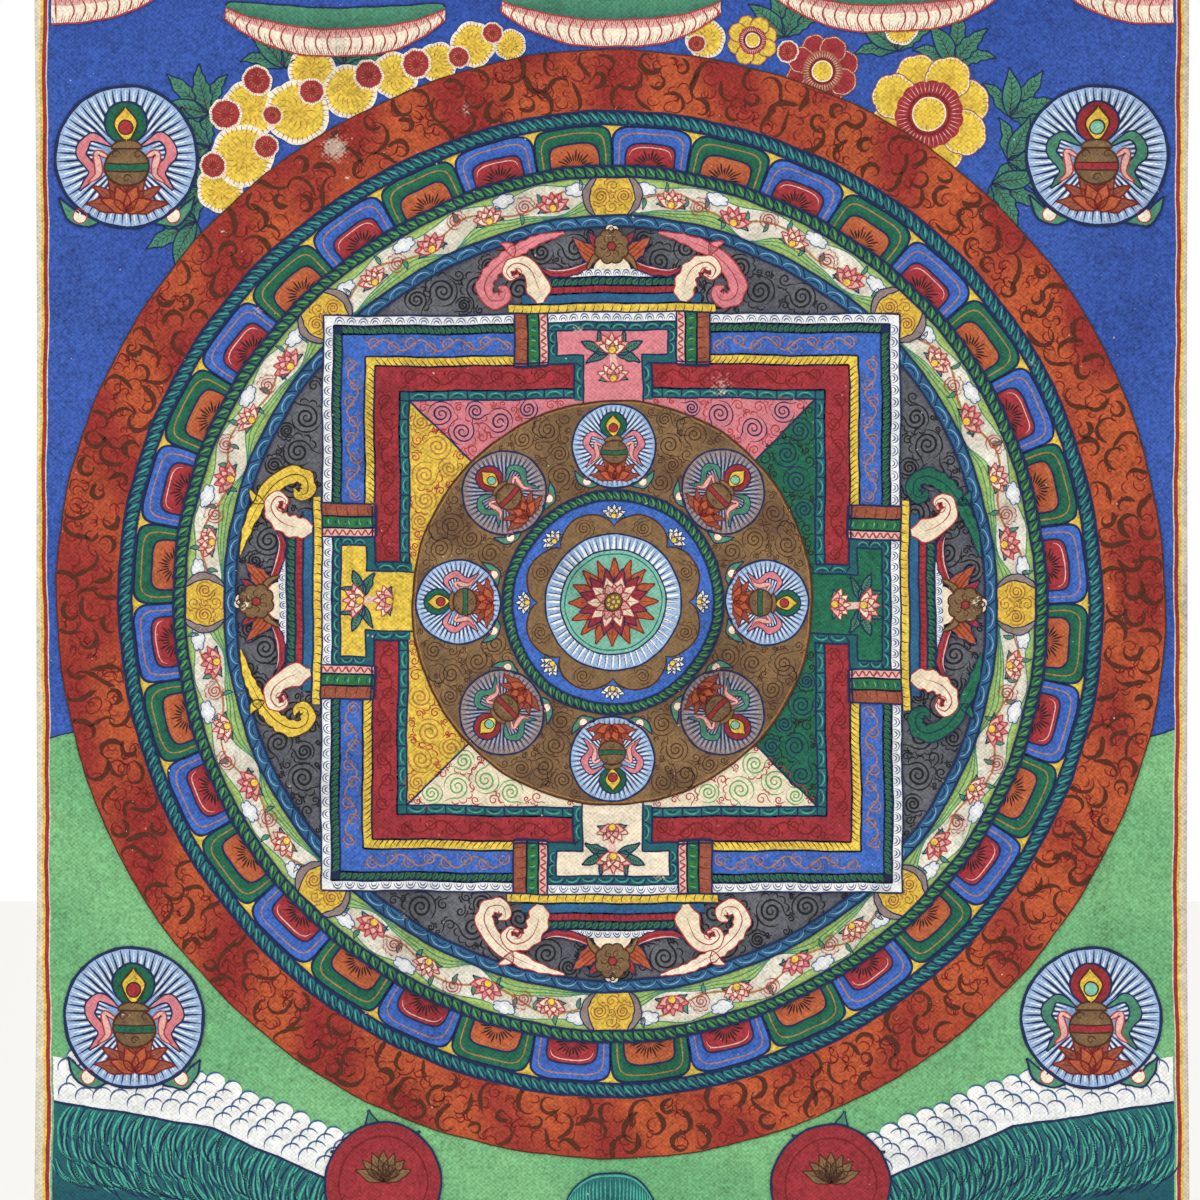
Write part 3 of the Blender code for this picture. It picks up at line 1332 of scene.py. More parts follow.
def vase(number: int) -> Motif:
    """A treasure vase on a lotus seat, with a jewel above it and ribbons at its sides.

    Args:
        number: 0 or 1, for the two ways it is coloured.

    Returns:
        The motif, upright about the medallion's middle.
    """
    nimbus, jewel, scarf = (
        (Pigment.MALACHITE, Pigment.CINNABAR, Pigment.PINK),
        (Pigment.CINNABAR, Pigment.SEA_GREEN, Pigment.LEAF_MALACHITE),
    )[number]
    motif = Motif()
    motif.shape(ring(3.4, 30) + (0.0, 5.4), nimbus, 0, (0.2, 0.6), 2, INK, 0.34)
    for side in SIDES:
        ribbons = smooth([(2.4, 1.6), (5.6, 3.2), (7.2, 0.6), (5.4, -2.4), (7.4, -5.4)], 34)
        motif.blade(ribbons * side, 1.7, scarf, 0, Taper.POINTED, (0.0, 0.7), INK, 0.26)
        inner = smooth([(2.6, -0.4), (4.8, 0.6), (4.4, -2.6), (6.0, -4.2)], 26)
        motif.blade(inner * side, 1.1, Pigment.SHELL_PINK, 2, Taper.POINTED, (0.0, 0.6), CRIMSON,
                    0.24)
    motif.blade(petals(7, 6.6, -0.1, 150.0, 15.0) + (0.0, -8.6), 2.3, Pigment.BRICK, 2, shade=(0.8, 0.0),
                edge=Pigment.LAC, edge_width=0.26, vein=Pigment.LAC)
    motif.blade(petals(4, 4.4, -0.1, 120.0, 30.0) + (0.0, -8.8), 2.2, Pigment.RED_LEAD, 4, shade=(0.6, 0.0),
                edge=Pigment.LAC, edge_width=0.26)
    belly = ring(1.0, 40) * (3.5, 3.1) + (0.0, -1.6)
    motif.shape(belly, Pigment.OLIVE_GOLD, 6, (0.0, 0.8), 3, BARK, 0.34)
    motif.shape(rounded(2.5, 1.4, 2.0, 17) + (0.0, 1.2), Pigment.OLIVE_GOLD, 7, (0.0, 0.4), 1,
                BARK, 0.28)
    motif.put(block(-3.3, 3.3, -2.3, -1.1), nimbus, 8, 0.3)
    motif.line(np.array([[[-3.3, -2.3], [0.0, -2.5], [3.3, -2.3]], [[-3.3, -1.1], [0.0, -1.3], [3.3, -1.1]]]),
               0.26, BARK, 9)
    motif.line(stamped(volute(1.2), [(-1.8, 0.2), (1.8, 0.2), (0.0, -3.6)], 0.0, 0.8), 0.2,
               BARK, 9, Taper.TAIL)
    drop = ribbon(pair(0.0, np.linspace(2.4, 8.0, 13)), 3.6, Taper.LEAF, rows=5)
    motif.put(drop, Pigment.ORPIMENT, 8, np.linspace(0.0, 0.7, 13))
    for side in (drop[0], drop[-1]):
        motif.line(side, 0.28, BARK, 9)
    motif.shape(ring(1.15, 18) + (0.0, 4.6), jewel, 9, rings=1, edge=BARK, edge_width=0.24)
    return motif


@dataclass
class CornerFlowers(Part):
    """Flowers and leaves in the sky along the circle, on its left a cluster, on its right peonies."""

    name: str = "corner_flowers"
    base: int = 3

    def paint(self, film: PaintFilm) -> None:
        """Leaves lie lowest, then yellow heads and peonies, then crimson heads.

        Args:
            film: what is painted on.
        """
        leaves = (
            # angle on the circle, radius, turn from upright in degrees
            (134.5, 152.0, 96.0), (131.5, 158.0, 72.0), (129.5, 165.0, 48.0), (121.5, 163.5, 8.0),
            (116.5, 157.0, -12.0), (137.5, 147.0, 118.0), (50.5, 163.0, -34.0), (48.0, 154.0, -64.0),
            (57.5, 165.0, -6.0), (62.5, 161.0, 18.0), (73.0, 154.0, 10.0), (47.5, 147.0, -112.0),
        )
        motif = spray(5, 14.5, 116.0)
        for angle, radius, turn in leaves:
            motif.stamp(film, arc(radius, angle, angle, 1), math.radians(turn))
        yellow = (
            # angle on the circle, radius, reach
            (133.5, 148.5, 5.4), (129.6, 151.0, 7.2), (126.4, 159.2, 6.6), (122.7, 152.0, 7.4),
            (119.4, 159.4, 5.4), (117.2, 150.0, 6.2), (112.4, 149.0, 5.4), (107.9, 148.0, 4.6),
            (104.0, 149.8, 5.2), (100.4, 147.6, 3.6), (80.6, 148.8, 4.6), (63.2, 166.5, 3.8),
        )
        for order, (angle, radius, reach) in enumerate(yellow):
            head = flower_head(reach, Pigment.ORPIMENT, 6)
            head.stamp(film, arc(radius, angle, angle, 1), order * 0.7, 1.15, 3 + 3 * (order % 2))
        peonies = (
            (56.8, 151.0, 16.0, Pigment.ORPIMENT, Pigment.CINNABAR),
            (68.4, 148.6, 9.6, Pigment.CINNABAR, Pigment.BRICK),
            (76.0, 151.0, 6.6, Pigment.ORPIMENT, Pigment.CINNABAR),
        )
        for angle, radius, reach, body, core in peonies:
            peony(reach, body, core).stamp(film, arc(radius, angle, angle, 1), 0.0, 1.0, 3)
        crimson = (
            (132.4, 154.0, 3.6), (128.4, 162.0, 4.3), (127.2, 149.4, 3.3), (124.2, 164.2, 4.0),
            (120.4, 154.6, 3.6), (124.9, 155.0, 2.7), (114.8, 151.8, 4.0), (110.0, 149.6, 4.1),
            (105.7, 147.6, 3.0), (101.9, 151.6, 2.9), (81.4, 147.2, 2.6), (72.3, 150.4, 3.0),
        )
        for order, (angle, radius, reach) in enumerate(crimson):
            head = flower_head(reach, Pigment.CINNABAR, 9)
            head.stamp(film, arc(radius, angle, angle, 1), order * 1.1, 1.0, 9)


@dataclass
class CornerMedallions(Part):
    """A rayed medallion with a treasure vase in each corner beside the circle."""

    name: str = "corner_medallions"
    base: int = 18

    def paint(self, film: PaintFilm) -> None:
        """Each medallion is the gold disc's, larger, with a lotus for a seat.

        Args:
            film: what is painted on.
        """
        places = np.array([(-126.0, 116.0), (126.0, 116.0), (-124.5, -108.0), (124.5, -108.0)])
        halo(Pigment.PALE_AZURITE, Pigment.WHITE).stamp(film, places, 0.0, 1.66, 0)
        for number in range(2):
            vase(number).stamp(film, places[number::2], 0.0, 1.6, 4)


@dataclass
class CloudSwags(Part):
    """Crescents like lotus seats along the top of the sky, with cushions, and plain cloud above."""

    name: str = "cloud_swags"
    base: int = 16
    half: float = 28.5

    def paint(self, film: PaintFilm) -> None:
        """Each crescent hangs on a sagging line; the sag is a power of the share from its middle.

        Args:
            film: what is painted on.
        """
        for middle, low in ((-144.0, 150.0), (-72.0, 142.5), (0.0, 144.6), (72.0, 148.0), (144.0, 150.0)):
            share = np.linspace(-1.0, 1.0, 97)
            share = share[np.abs(middle + self.half * share) < PLAN.picture_width - 0.5]
            foot = pair(middle + self.half * share, low + 9.0 * np.abs(share) ** 2.6)
            top = foot + pair(0.0, 7.0 - 4.0 * np.abs(share) ** 3)
            cushion = top + pair(0.0, 0.6 + 5.0 * np.sqrt(1.0 - share**2))
            film.put(between(top, cushion, 3), Pigment.LEAF_MALACHITE, 0, np.array([0.9, 0.4, 0.0])[:, None])
            film.put(between(foot, top, 5), Pigment.SHELL_PINK, 1, np.linspace(0.0, 0.5, 5)[:, None])
            film.put(between(foot, between(foot, top, 4)[2], 3), Pigment.CREAM, 2, 0.0)
            film.line(foot, 0.42, CRIMSON, 5)
            film.line(top, 0.36, CRIMSON, 5)
            film.line(cushion, 0.4, INK, 5)
            ribs = between(foot[2:-2:5], top[2:-2:5], 9).swapaxes(0, 1)
            bow = 1.7 * np.sin(np.linspace(0.0, math.pi, 9)) * np.sign(share[2:-2:5, None])
            film.line(ribs + pair(bow, 0.0), 0.40, CRIMSON, 4, Taper.POINTED)
            for start, rise in ((foot, 2.7), (top, -2.4)):
                length = rise * (0.75 + 0.35 * np.sin(np.arange(len(start) - 2) * 2.3))
                tips = start[1:-1] + pair(0.25 * length * np.sign(share[1:-1]), length)
                ticks = between(start[1:-1], tips, 4).swapaxes(0, 1)
                film.line(ticks, 0.28, CRIMSON, 3, Taper.TAIL)
        clouds = np.array([
            # place across, height, size
            (-113.0, 170.5, 1.20), (-70.0, 183.0, 0.95), (-33.0, 168.5, 0.85), (9.0, 183.5, 1.15),
            (52.0, 171.0, 0.95), (103.0, 180.0, 1.25),
        ])
        scallops(7, 2.9).stamp(film, clouds[:, :2], 0.0, clouds[:, 2])


def scallops(lobes: int, radius: float) -> Motif:
    """A bank of cloud: rows of overlapping round lobes with dark edges, the lowest row in front.

    Args:
        lobes: how many lobes the longest row has.
        radius: each lobe's radius.

    Returns:
        The motif; its lowest row's middle is at the origin.
    """
    motif = Motif()
    for row in (2, 1, 0):
        count = lobes - row
        x = (np.arange(count) - (count - 1) / 2) * radius * 1.55
        places = pair(x, row * radius * 0.95)
        level = (2 - row) * 3
        for turn in range(2):
            motif.shape(stamped(ring(radius, 26), places[turn::2]), Pigment.WHITE, level + turn)
        motif.line(stamped(arc(radius, 5.0, 175.0, 20), places), 0.42, INK, level + 2,
                   Taper.POINTED)
    return motif


@dataclass
class LowerBanks(Part):
    """White cloud banks, fringed teal slopes and crimson lotus discs on the green below the circle."""

    name: str = "lower_banks"
    base: int = 3

    def paint(self, film: PaintFilm) -> None:
        """Slopes first, then the banks of cloud, then plain mounds, discs and jewels.

        Args:
            film: what is painted on.
        """
        for side in (-1.0, 1.0):
            self.slope(film, side)
        self.bank(film)
        for number, (x, top, wide, high) in enumerate((
            # middle, top, half width, half height
            (128.0, -178.0, 17.0, 23.0), (-128.0, -178.0, 17.0, 23.0), (99.0, -183.0, 18.0, 18.0),
            (-99.0, -183.0, 18.0, 18.0), (74.0, -189.0, 15.0, 12.0), (-74.0, -189.0, 15.0, 12.0),
            (0.0, -147.5, 12.0, 14.0),
        )):
            self.mound(film, np.array([x, top]), wide, high, 14 + 3 * (number // 2 % 2))
        self.discs(film)
        scallops(7, 3.2).stamp(film, np.array([[0.0, -168.0]]), 0.0, 1.0, 8)
        jewel = Motif()
        jewel.blade(pair(0.0, np.linspace(-2.2, 3.4, 9)), 3.4, Pigment.ORPIMENT, 0,
                    edge=INK, shade=(0.0, 0.8))
        jewel.shape(ring(1.3, 20), Pigment.CINNABAR, 2, rings=1)
        jewel.stamp(film, np.array([(-7.0, -160.0), (0.0, -159.0), (7.0, -160.0)]), 0.0, 1.0, 17)

    def skyline(self, x: Array) -> Array:
        """The height of the banks' top line at places across: it falls towards the middle."""
        away = np.abs(x) - 104.0
        return -124.5 + np.where(away < 0.0, 0.42, 0.15) * away

    def bank(self, film: PaintFilm) -> None:
        """A white bank on each side: its top is scalloped, and rows of arcs cross it."""
        for side in (-1.0, 1.0):
            x = side * np.linspace(54.0, PLAN.picture_width - 0.5, 60)
            top = pair(x, self.skyline(x))
            foot = top - (0.0, 11.5)
            film.put(between(foot, top, 5), Pigment.WHITE, 2, np.linspace(0.3, 0.0, 5)[:, None])
            film.line(foot, 0.6, INK, 6)
            for row in range(4):
                across = side * np.arange(54.0 + 2.2 * (row % 2), 142.5, 4.5)
                rise = 0.5 * np.sin(across * 0.35 + row) - 2.9 * row
                places = pair(across, self.skyline(across) + rise)
                if row == 0:
                    film.shape(stamped(ring(2.6, 22), places), Pigment.WHITE, 1)
                lobes = stamped(arc(2.6, 8.0, 172.0, 16), places, side * -0.4)
                blue = Pigment.SLATE_LINE if row % 2 else Pigment.STEEL_AZURITE
                film.line(lobes, 0.48, blue, 4, Taper.POINTED)

    def slope(self, film: PaintFilm, side: float) -> None:
        """A teal slope under the bank, with flowing pale and dark strokes down its face.

        Args:
            film: what is painted on.
            side: -1 for the left and 1 for the right.
        """
        x = side * np.linspace(50.0, PLAN.picture_width - 0.5, 50)
        top = pair(x, self.skyline(x) - 10.0)
        fall = 27.0 * np.clip((np.abs(x) - 48.0) / 40.0, 0.05, 1.0) ** 0.6
        foot = top - pair(0.0, fall)
        film.put(between(top, foot, 8), Pigment.TEAL, 0, np.linspace(0.0, 0.9, 8)[:, None])
        film.line(foot, 0.45, INK, 2)
        rng = np.random.default_rng(61)
        for row, count in enumerate((60, 50, 42)):
            across = side * (np.linspace(56.0 + 12.0 * row, 143.0, count) + rng.uniform(-0.5, 0.5, count))
            down = self.skyline(across) - 16.0 - 6.6 * row
            for pigment, shift in ((Pigment.PALE_TEAL_LINE, 0.0), (INK, 0.7)):
                heading = -math.pi / 2 + side * (0.7 - 0.5 * row) + rng.uniform(-0.2, 0.2, count)
                strokes = curls(heading, rng.uniform(8.0, 12.5, count), -side * rng.uniform(0.6, 1.6, count))
                strokes = strokes + pair(across + shift, down - shift)[:, None]
                film.line(strokes, 0.55, pigment, 1, Taper.POINTED)

    def mound(self, film: PaintFilm, peak: Array, wide: float, high: float, level: int) -> None:
        """A rounded teal rock with a pale line inside its edge and strokes down its face.

        Args:
            film: what is painted on.
            peak: its highest place.
            wide: half its width.
            high: its height.
            level: the layer it lies in.
        """
        hump = rounded(wide, high, 2.3, 41) + peak - (0.0, high)
        foot = pair(hump[:, 0], peak[1] - high)
        film.put(between(foot, hump, 8), Pigment.TEAL, level, np.linspace(0.9, 0.0, 8)[:, None])
        film.line(hump, 0.45, INK, level + 2)
        rows = between(foot, hump, 20)
        film.line(rows[18], 0.5, Pigment.PALE_TEAL_LINE, level + 1)
        strokes = rows[8:18:3, 1:-1].swapaxes(0, 1)
        film.line(strokes, 0.4, Pigment.PALE_TEAL_LINE, level + 1, Taper.POINTED)

    def discs(self, film: PaintFilm) -> None:
        """On each side a crimson lotus disc with a gold bud in it and green leaves about it.

        Args:
            film: what is painted on.
        """
        places = np.array([(-59.0, -149.7), (56.5, -151.0)])
        spray(5, 19.0, 150.0).stamp(film, places, [0.2, -0.2], 1.0, 8)
        motif = Motif()
        motif.shape(ring(15.2, 96), Pigment.CINNABAR, 0, (0.1, 0.5), 5, INK, 0.6)
        motif.line(ring(11.6, 60), 0.45, Pigment.LAC, 1, closed=True)
        motif.blade(petals(7, 8.0, -0.05, 130.0, 25.0), 3.0, Pigment.OLIVE_GOLD, 2, edge=BARK,
                    shade=(0.8, 0.0), vein=BARK)
        motif.stamp(film, places, 0.0, 1.0, 20)


@dataclass
class FlameRing(Part):
    """The outer ring of fire: reds that drift to orange under hooked brown strokes."""

    name: str = "flame_ring"
    base: int = 17
    strokes: int = 104

    def paint(self, film: PaintFilm) -> None:
        """The band is crimson outside and on its left, orange inside and on its right.

        Args:
            film: what is painted on.
        """
        inner, outer = PLAN.flame_inner, PLAN.flame_outer
        rows = np.linspace(inner, outer, 8)[:, None]
        around = np.arange(360) * TAU / 360
        band = polar(rows, around)
        shade = 0.24 + 0.46 * (rows - inner) / (outer - inner) - 0.20 * np.cos(around) + 0.06 * np.sin(around)
        shade = np.clip(shade + 1.2 * waver(band, 30.0, 3) - 0.6, 0.0, 1.0)
        film.put(band, Pigment.FLAME_CINNABAR, 0, shade, closed=True)
        rng = np.random.default_rng(11)

        def drawn(low: float, high: float, count: int = self.strokes) -> Array:
            """Random numbers between two bounds, one for each stroke."""
            return rng.uniform(low, high, count)

        for row, radius in enumerate((131.2, 135.9, 140.6)):
            angle = (np.arange(self.strokes) + 0.5 * (row % 2) + drawn(-0.3, 0.3)) * TAU / self.strokes
            hand = np.sign(drawn(-1.0, 1.0))
            heading = angle + math.pi / 2 * np.sign(drawn(-1.0, 1.0)) + drawn(-0.7, 0.7)
            hooks = curls(heading, drawn(7.0, 12.5), hand * drawn(2.8, 4.8), 1.5, hand * drawn(-2.2, 1.0), 24)
            hooks = self.held(hooks + polar(radius, angle)[:, None])
            film.line(hooks, drawn(0.9, 1.6), Pigment.EMBER_LINE, 2, Taper.HOOK)
        count = 1000
        heading, angle = drawn(0.0, TAU, count), drawn(0.0, TAU, count)
        radius = drawn(inner + 1.2, outer - 1.2, count)
        turn = np.sign(drawn(-1.0, 1.0, count)) * drawn(2.0, 5.0, count)
        fine = curls(heading, drawn(3.0, 7.0, count), turn, count=14)
        film.line(self.held(fine + polar(radius, angle)[:, None]), 0.40, Pigment.LAC, 1, Taper.POINTED)
        film.line(ring(outer, 360), 0.34, Pigment.UMBER, 3, closed=True)

    def held(self, paths: Array) -> Array:
        """Strokes kept inside the ring: a radius past either edge is brought back to it."""
        radius = np.linalg.norm(paths, axis=-1, keepdims=True)
        return paths / radius * np.clip(radius, PLAN.flame_inner + 0.6, PLAN.flame_outer - 0.6)


@dataclass
class CordRings(Part):
    """The three painted cords that part the rings from each other."""

    name: str = "cord_rings"
    base: int = 17

    def paint(self, film: PaintFilm) -> None:
        """Leaves of teal, leaves of green and cells of blue, each on indigo.

        Args:
            film: what is painted on.
        """
        cords = (
            (PLAN.lotus_outer, PLAN.flame_inner,
             2.4, Lay.LEAVES, INK, Pigment.TEAL, Pigment.PALE_TEAL_LINE),
            (PLAN.vine_outer, PLAN.lotus_inner,
             2.7, Lay.LEAVES, INK, Pigment.ROPE_MALACHITE, Pigment.PALE_GREEN_LINE),
            (PLAN.field, PLAN.vine_inner,
             6.8, Lay.CELLS, Pigment.STEEL_AZURITE, INK, Pigment.PALE_BLUE_LINE),
        )
        for inner, outer, pitch, lay, ground, strand, gleam in cords:
            border = Border(outer - inner, pitch, lay, ground, strand, gleam, lean=0.9, edge=0.6)
            middle = (inner + outer) / 2
            border.paint(film, round_track(inner, middle), TAU * middle, closed=True)


@dataclass
class LotusRing(Part):
    """A ring of square-shouldered lotus petals, blue and green by turns."""

    name: str = "lotus_ring"
    base: int = 8
    count: int = 36

    def paint(self, film: PaintFilm) -> None:
        """Every petal and heart is the upper half of a superellipse that stands on the inner cord.

        Args:
            film: what is painted on.
        """
        inner, depth = PLAN.lotus_inner, PLAN.lotus_outer - PLAN.lotus_inner
        middle = inner + depth / 2
        pitch = TAU * middle / self.count
        half, high = pitch / 2 * 0.99, depth * 0.965
        bend = round_track(inner, middle)
        rows = np.linspace(inner, PLAN.lotus_outer, 4)[:, None]
        film.put(polar(rows, np.arange(240) * TAU / 240), Pigment.ORPIMENT, 0, 0.2, closed=True)
        body, heart = rounded(half, high, 6.0, 49), rounded(half * 0.66, high * 0.58, 4.6, 49)
        inset, glow = rounded(half - 1.7, high - 1.7, 5.4, 49), rounded(half * 0.57, high * 0.48, 4.2, 49)
        fan = np.radians(np.linspace(14.0, 166.0, 12))
        length = 0.6 + 0.4 * np.sin(np.arange(12) * 1.9)[:, None] ** 2
        rays = polar(1.9 + np.linspace(0.0, 3.5, 7) * length, fan[:, None]) * (1.0, 0.94) + (0.0, -0.3)
        paints = (
            (Pigment.AZURITE, Pigment.CINNABAR, Pigment.SHELL_PINK),
            (Pigment.MALACHITE, Pigment.RED_LEAD, Pigment.OCHRE_LINE),
        )
        for turn, (petal, core, rim) in enumerate(paints):
            along = (np.arange(turn, self.count, 2) + 0.5) * pitch

            def at(points: Array) -> Array:
                """The points in each petal of this colour."""
                stand = along.reshape((-1,) + (1,) * (points.ndim - 1))
                return bend(points[..., 0] + stand, points[..., 1])

            film.put(at(between(heart, body, 5)), petal, 1, np.array([0.9, 0.5, 0.2, 0.0, 0.0])[:, None])
            film.put(at(between(heart * (1.0, 0.0), heart, 4)), core, 1,
                     np.array([0.8, 0.3, 0.0, 0.0])[:, None])
            film.line(at(body), 0.62, INK, 2)
            film.line(at(heart), 0.52, INK, 2)
            film.line(at(inset), 0.32, Pigment.OCHRE_LINE, 2)
            film.line(at(glow[4:-4]), 0.26, rim, 2, Taper.POINTED)
            film.line(at(rays), 0.42, Pigment.LAMP_BLACK, 3, Taper.POINTED)


@dataclass
class VineRing(Part):
    """A pale ring: rolling green hills and cloud, pink lotuses, and gold cells in mauve crescents."""

    name: str = "vine_ring"
    base: int = 5
    cells: int = 8

    def paint(self, film: PaintFilm) -> None:
        """Hills rise as sines from both edges, three times in each step from cell to cell.

        Args:
            film: what is painted on.
        """
        inner, depth = PLAN.vine_inner, PLAN.vine_outer - PLAN.vine_inner
        middle = inner + depth / 2
        length = TAU * middle
        step = length / self.cells
        bend = round_track(inner, middle)
        along = np.linspace(0.0, length, 360, endpoint=False)
        rows = np.linspace(0.0, depth, 4)[:, None]
        ground = bend(along, rows)
        film.put(ground, Pigment.SHELL_WHITE, 0, waver(ground, 14.0, 8), closed=True)
        wave = along / step * TAU
        low = depth * (0.25 + 0.17 * np.sin(wave * 3 + 0.6) + 0.07 * np.sin(wave * 5))
        high = depth * (0.86 + 0.09 * np.sin(wave * 4 + 2.0))
        for first, second, tones in ((0.0, low, (0.7, 0.0)), (high, depth, (0.0, 0.6))):
            hill = between(bend(along, first), bend(along, second), 4)
            film.put(hill, Pigment.FRESH_GREEN, 1, np.linspace(*tones, 4)[:, None], closed=True)
        for share in (1.0, 0.72, 0.42):
            film.line(bend(along, low * share), 0.3, Pigment.LEAF_MALACHITE, 2, closed=True)
        film.line(bend(along, high), 0.3, Pigment.LEAF_MALACHITE, 2, closed=True)
        film.line(bend(along, self.stem(wave, depth)), 0.5, Pigment.OCHRE_LINE, 3, closed=True)
        self.growth(film, bend, step, depth)
        self.gold(film, bend, step, depth)

    def stem(self, wave: Array, depth: float) -> Array:
        """How far out the vine's stem runs, for phases that grow by a whole turn from cell to cell."""
        return depth * (0.52 + 0.18 * np.sin(wave * 3 - 0.9))

    def growth(self, film: PaintFilm, bend: Track, step: float, depth: float) -> None:
        """Lotuses, cloud puffs, crimson scrolls and leaves in each step.

        Args:
            film: what is painted on.
            bend: the ring's track.
            step: the length from cell to cell.
            depth: the ring's depth.
        """
        starts = np.arange(self.cells) * step
        flower = lotus(Pigment.SHELL_PINK, Pigment.PINK, CRIMSON)
        other = lotus(Pigment.CREAM, Pigment.SHELL_PINK, CRIMSON)
        puff, scroll = Motif(), Motif()
        puff.shape(lobed(2.3, 6, 0.22, 48) * (1.4, 0.8), Pigment.WHITE, 0, (0.0, 0.8),
                   edge=Pigment.SLATE_LINE, edge_width=0.26)
        scroll_work(scroll, np.zeros((1, 2)), np.array([2.3]), 72, CRIMSON, 0.32, 0)
        for motif, level, size, spots in (
            (flower, 5, 0.92, ((0.19, 0.24), (0.60, 0.26))),
            (other, 5, 0.84, ((0.40, 0.36), (0.81, 0.34))),
            (puff, 4, 1.0, ((0.11, 0.70), (0.34, 0.80), (0.67, 0.78), (0.90, 0.70))),
            (scroll, 12, 1.0, ((0.28, 0.50), (0.50, 0.72), (0.72, 0.46))),
        ):
            for share, rise in spots:
                places = bend(starts + share * step, rise * depth)
                motif.stamp(film, places, upright(places), size, level)
        run = np.arange(self.cells * 15)
        wave = (run + 0.5) / 15
        places = bend(wave * step, self.stem(wave * TAU, depth))
        side = np.where(run % 2, 1.0, -1.0)
        leaf = curls(0.5 * side, 3.0, 0.9 * side, count=9)
        leaf = leaf - leaf[:, :1]
        lean = upright(places) + 0.7 * side
        blades = np.stack([turned(path, angle) + place for path, angle, place in zip(leaf, lean, places)])
        film.blade(blades, 1.1, Pigment.LEAF_MALACHITE, 4, edge=INK, edge_width=0.2)

    def gold(self, film: PaintFilm, bend: Track, step: float, depth: float) -> None:
        """Gold cells across the ring with scrolls in each, held between two mauve crescents.

        Args:
            film: what is painted on.
            bend: the ring's track.
            step: the length from cell to cell.
            depth: the ring's depth.
        """
        rise = np.linspace(-0.5, 0.5, 9)
        side = 6.4 - 2.6 * (rise * 2) ** 2
        motif = Motif()
        for hand in (-1.0, 1.0):
            crescent = pair(hand * (side + 0.5), rise * depth)
            motif.blade(crescent, 1.9, Pigment.MAUVE, 1, Taper.BEAD, (0.6, 0.0), INK)
        cell = pair(np.linspace(-1.0, 1.0, 7) * side[:, None], rise[:, None] * depth)
        motif.put(cell, Pigment.ORPIMENT, 0, 0.55)
        spots = np.array([(-3.1, 0.0), (3.1, 0.0), (0.0, 2.8), (0.0, -2.8), (0.0, 0.0)])
        scroll_work(motif, spots, np.array([2.2, 2.2, 1.9, 1.9, 1.2]), 71, Pigment.BRICK, 0.30, 3)
        places = bend(np.arange(self.cells) * step, depth / 2)
        motif.stamp(film, places, upright(places), 1.0, 11)


def scroll_work(film: Motif, places: Array, sizes: Array, seed: int, pigment: Pigment, width: float,
                level: int, echo: Pigment | None = None) -> None:
    """Cloud scrolls: a whorl with an outer echo of its first turn, and scallops on one side of it.

    Args:
        film: what is painted on.
        places: the scrolls' middles.
        sizes: their radii.
        seed: for which way each one winds and lies.
        pigment: the paint of the lines.
        width: the lines' width.
        level: the layer they lie in.
        echo: the paint of the large whorls, if it is another.
    """
    rng = np.random.default_rng(seed)
    hands = rng.choice([-1.0, 1.0], len(places))
    turns = rng.uniform(0.0, TAU, len(places))
    great = sizes > 2.1
    crown = np.stack([arc(0.27, angle - 100.0, angle + 80.0, 9) + arc(0.96, angle, angle, 1)
                      for angle in (8.0, 40.0, 72.0, 104.0)])
    tail = smooth([(1.30, -0.62), (1.06, -0.42), (0.86, -0.12), (0.84, 0.0)], 9)[:-1]
    full = np.concatenate([tail, volute(2.2, 0.07, 46) * 0.84])
    short = np.concatenate([tail, volute(1.35, 0.16, 24) * 0.84])
    for hand in (-1.0, 1.0):
        way = np.array([hand, 1.0])
        for large in (True, False):
            mine = (hands == hand) & (great == large)
            if not mine.any():
                continue
            spots, leans, radii = places[mine], turns[mine], sizes[mine]
            bold = echo if echo and large else pigment
            film.line(stamped((full if large else short) * way, spots, leans, radii),
                      width if large else width * 0.7, bold, level, Taper.BEAD)
            if large:
                rim = stamped(arc(0.96, 120.0, 300.0, 22) * way, spots, leans, radii)
                film.line(rim, width * 0.75, bold, level, Taper.POINTED)
            film.line(stamped((crown if large else crown[1:3]) * way, spots, leans, radii), width * 0.7,
                      pigment, level + 1, Taper.POINTED)


@dataclass
class ScrollField(Part):
    """The grey field about the palace, worked over with black cloud scrolls."""

    name: str = "scroll_field"
    base: int = 3

    def paint(self, film: PaintFilm) -> None:
        """A grey ring from the palace's inner circle out, and scrolls wherever they have room.

        Args:
            film: what is painted on.
        """
        rows = np.linspace(60.0, PLAN.field, 14)[:, None]
        band = polar(rows, np.arange(200) * TAU / 200)
        film.put(band, Pigment.GREY, 0, waver(band, 26.0, 6), closed=True)
        places, sizes = packed(PLAN.field, self.room, 0.8, 4.0, 21, 7000)
        scroll_work(film, places, sizes, 22, Pigment.LAMP_BLACK, 0.60, 1)

    def room(self, places: Array) -> Array:
        """The free radius between the palace wall and the blue cord."""
        wall = np.abs(places).max(-1) - PLAN.palace
        return np.minimum(wall, PLAN.field - np.linalg.norm(places, axis=-1))


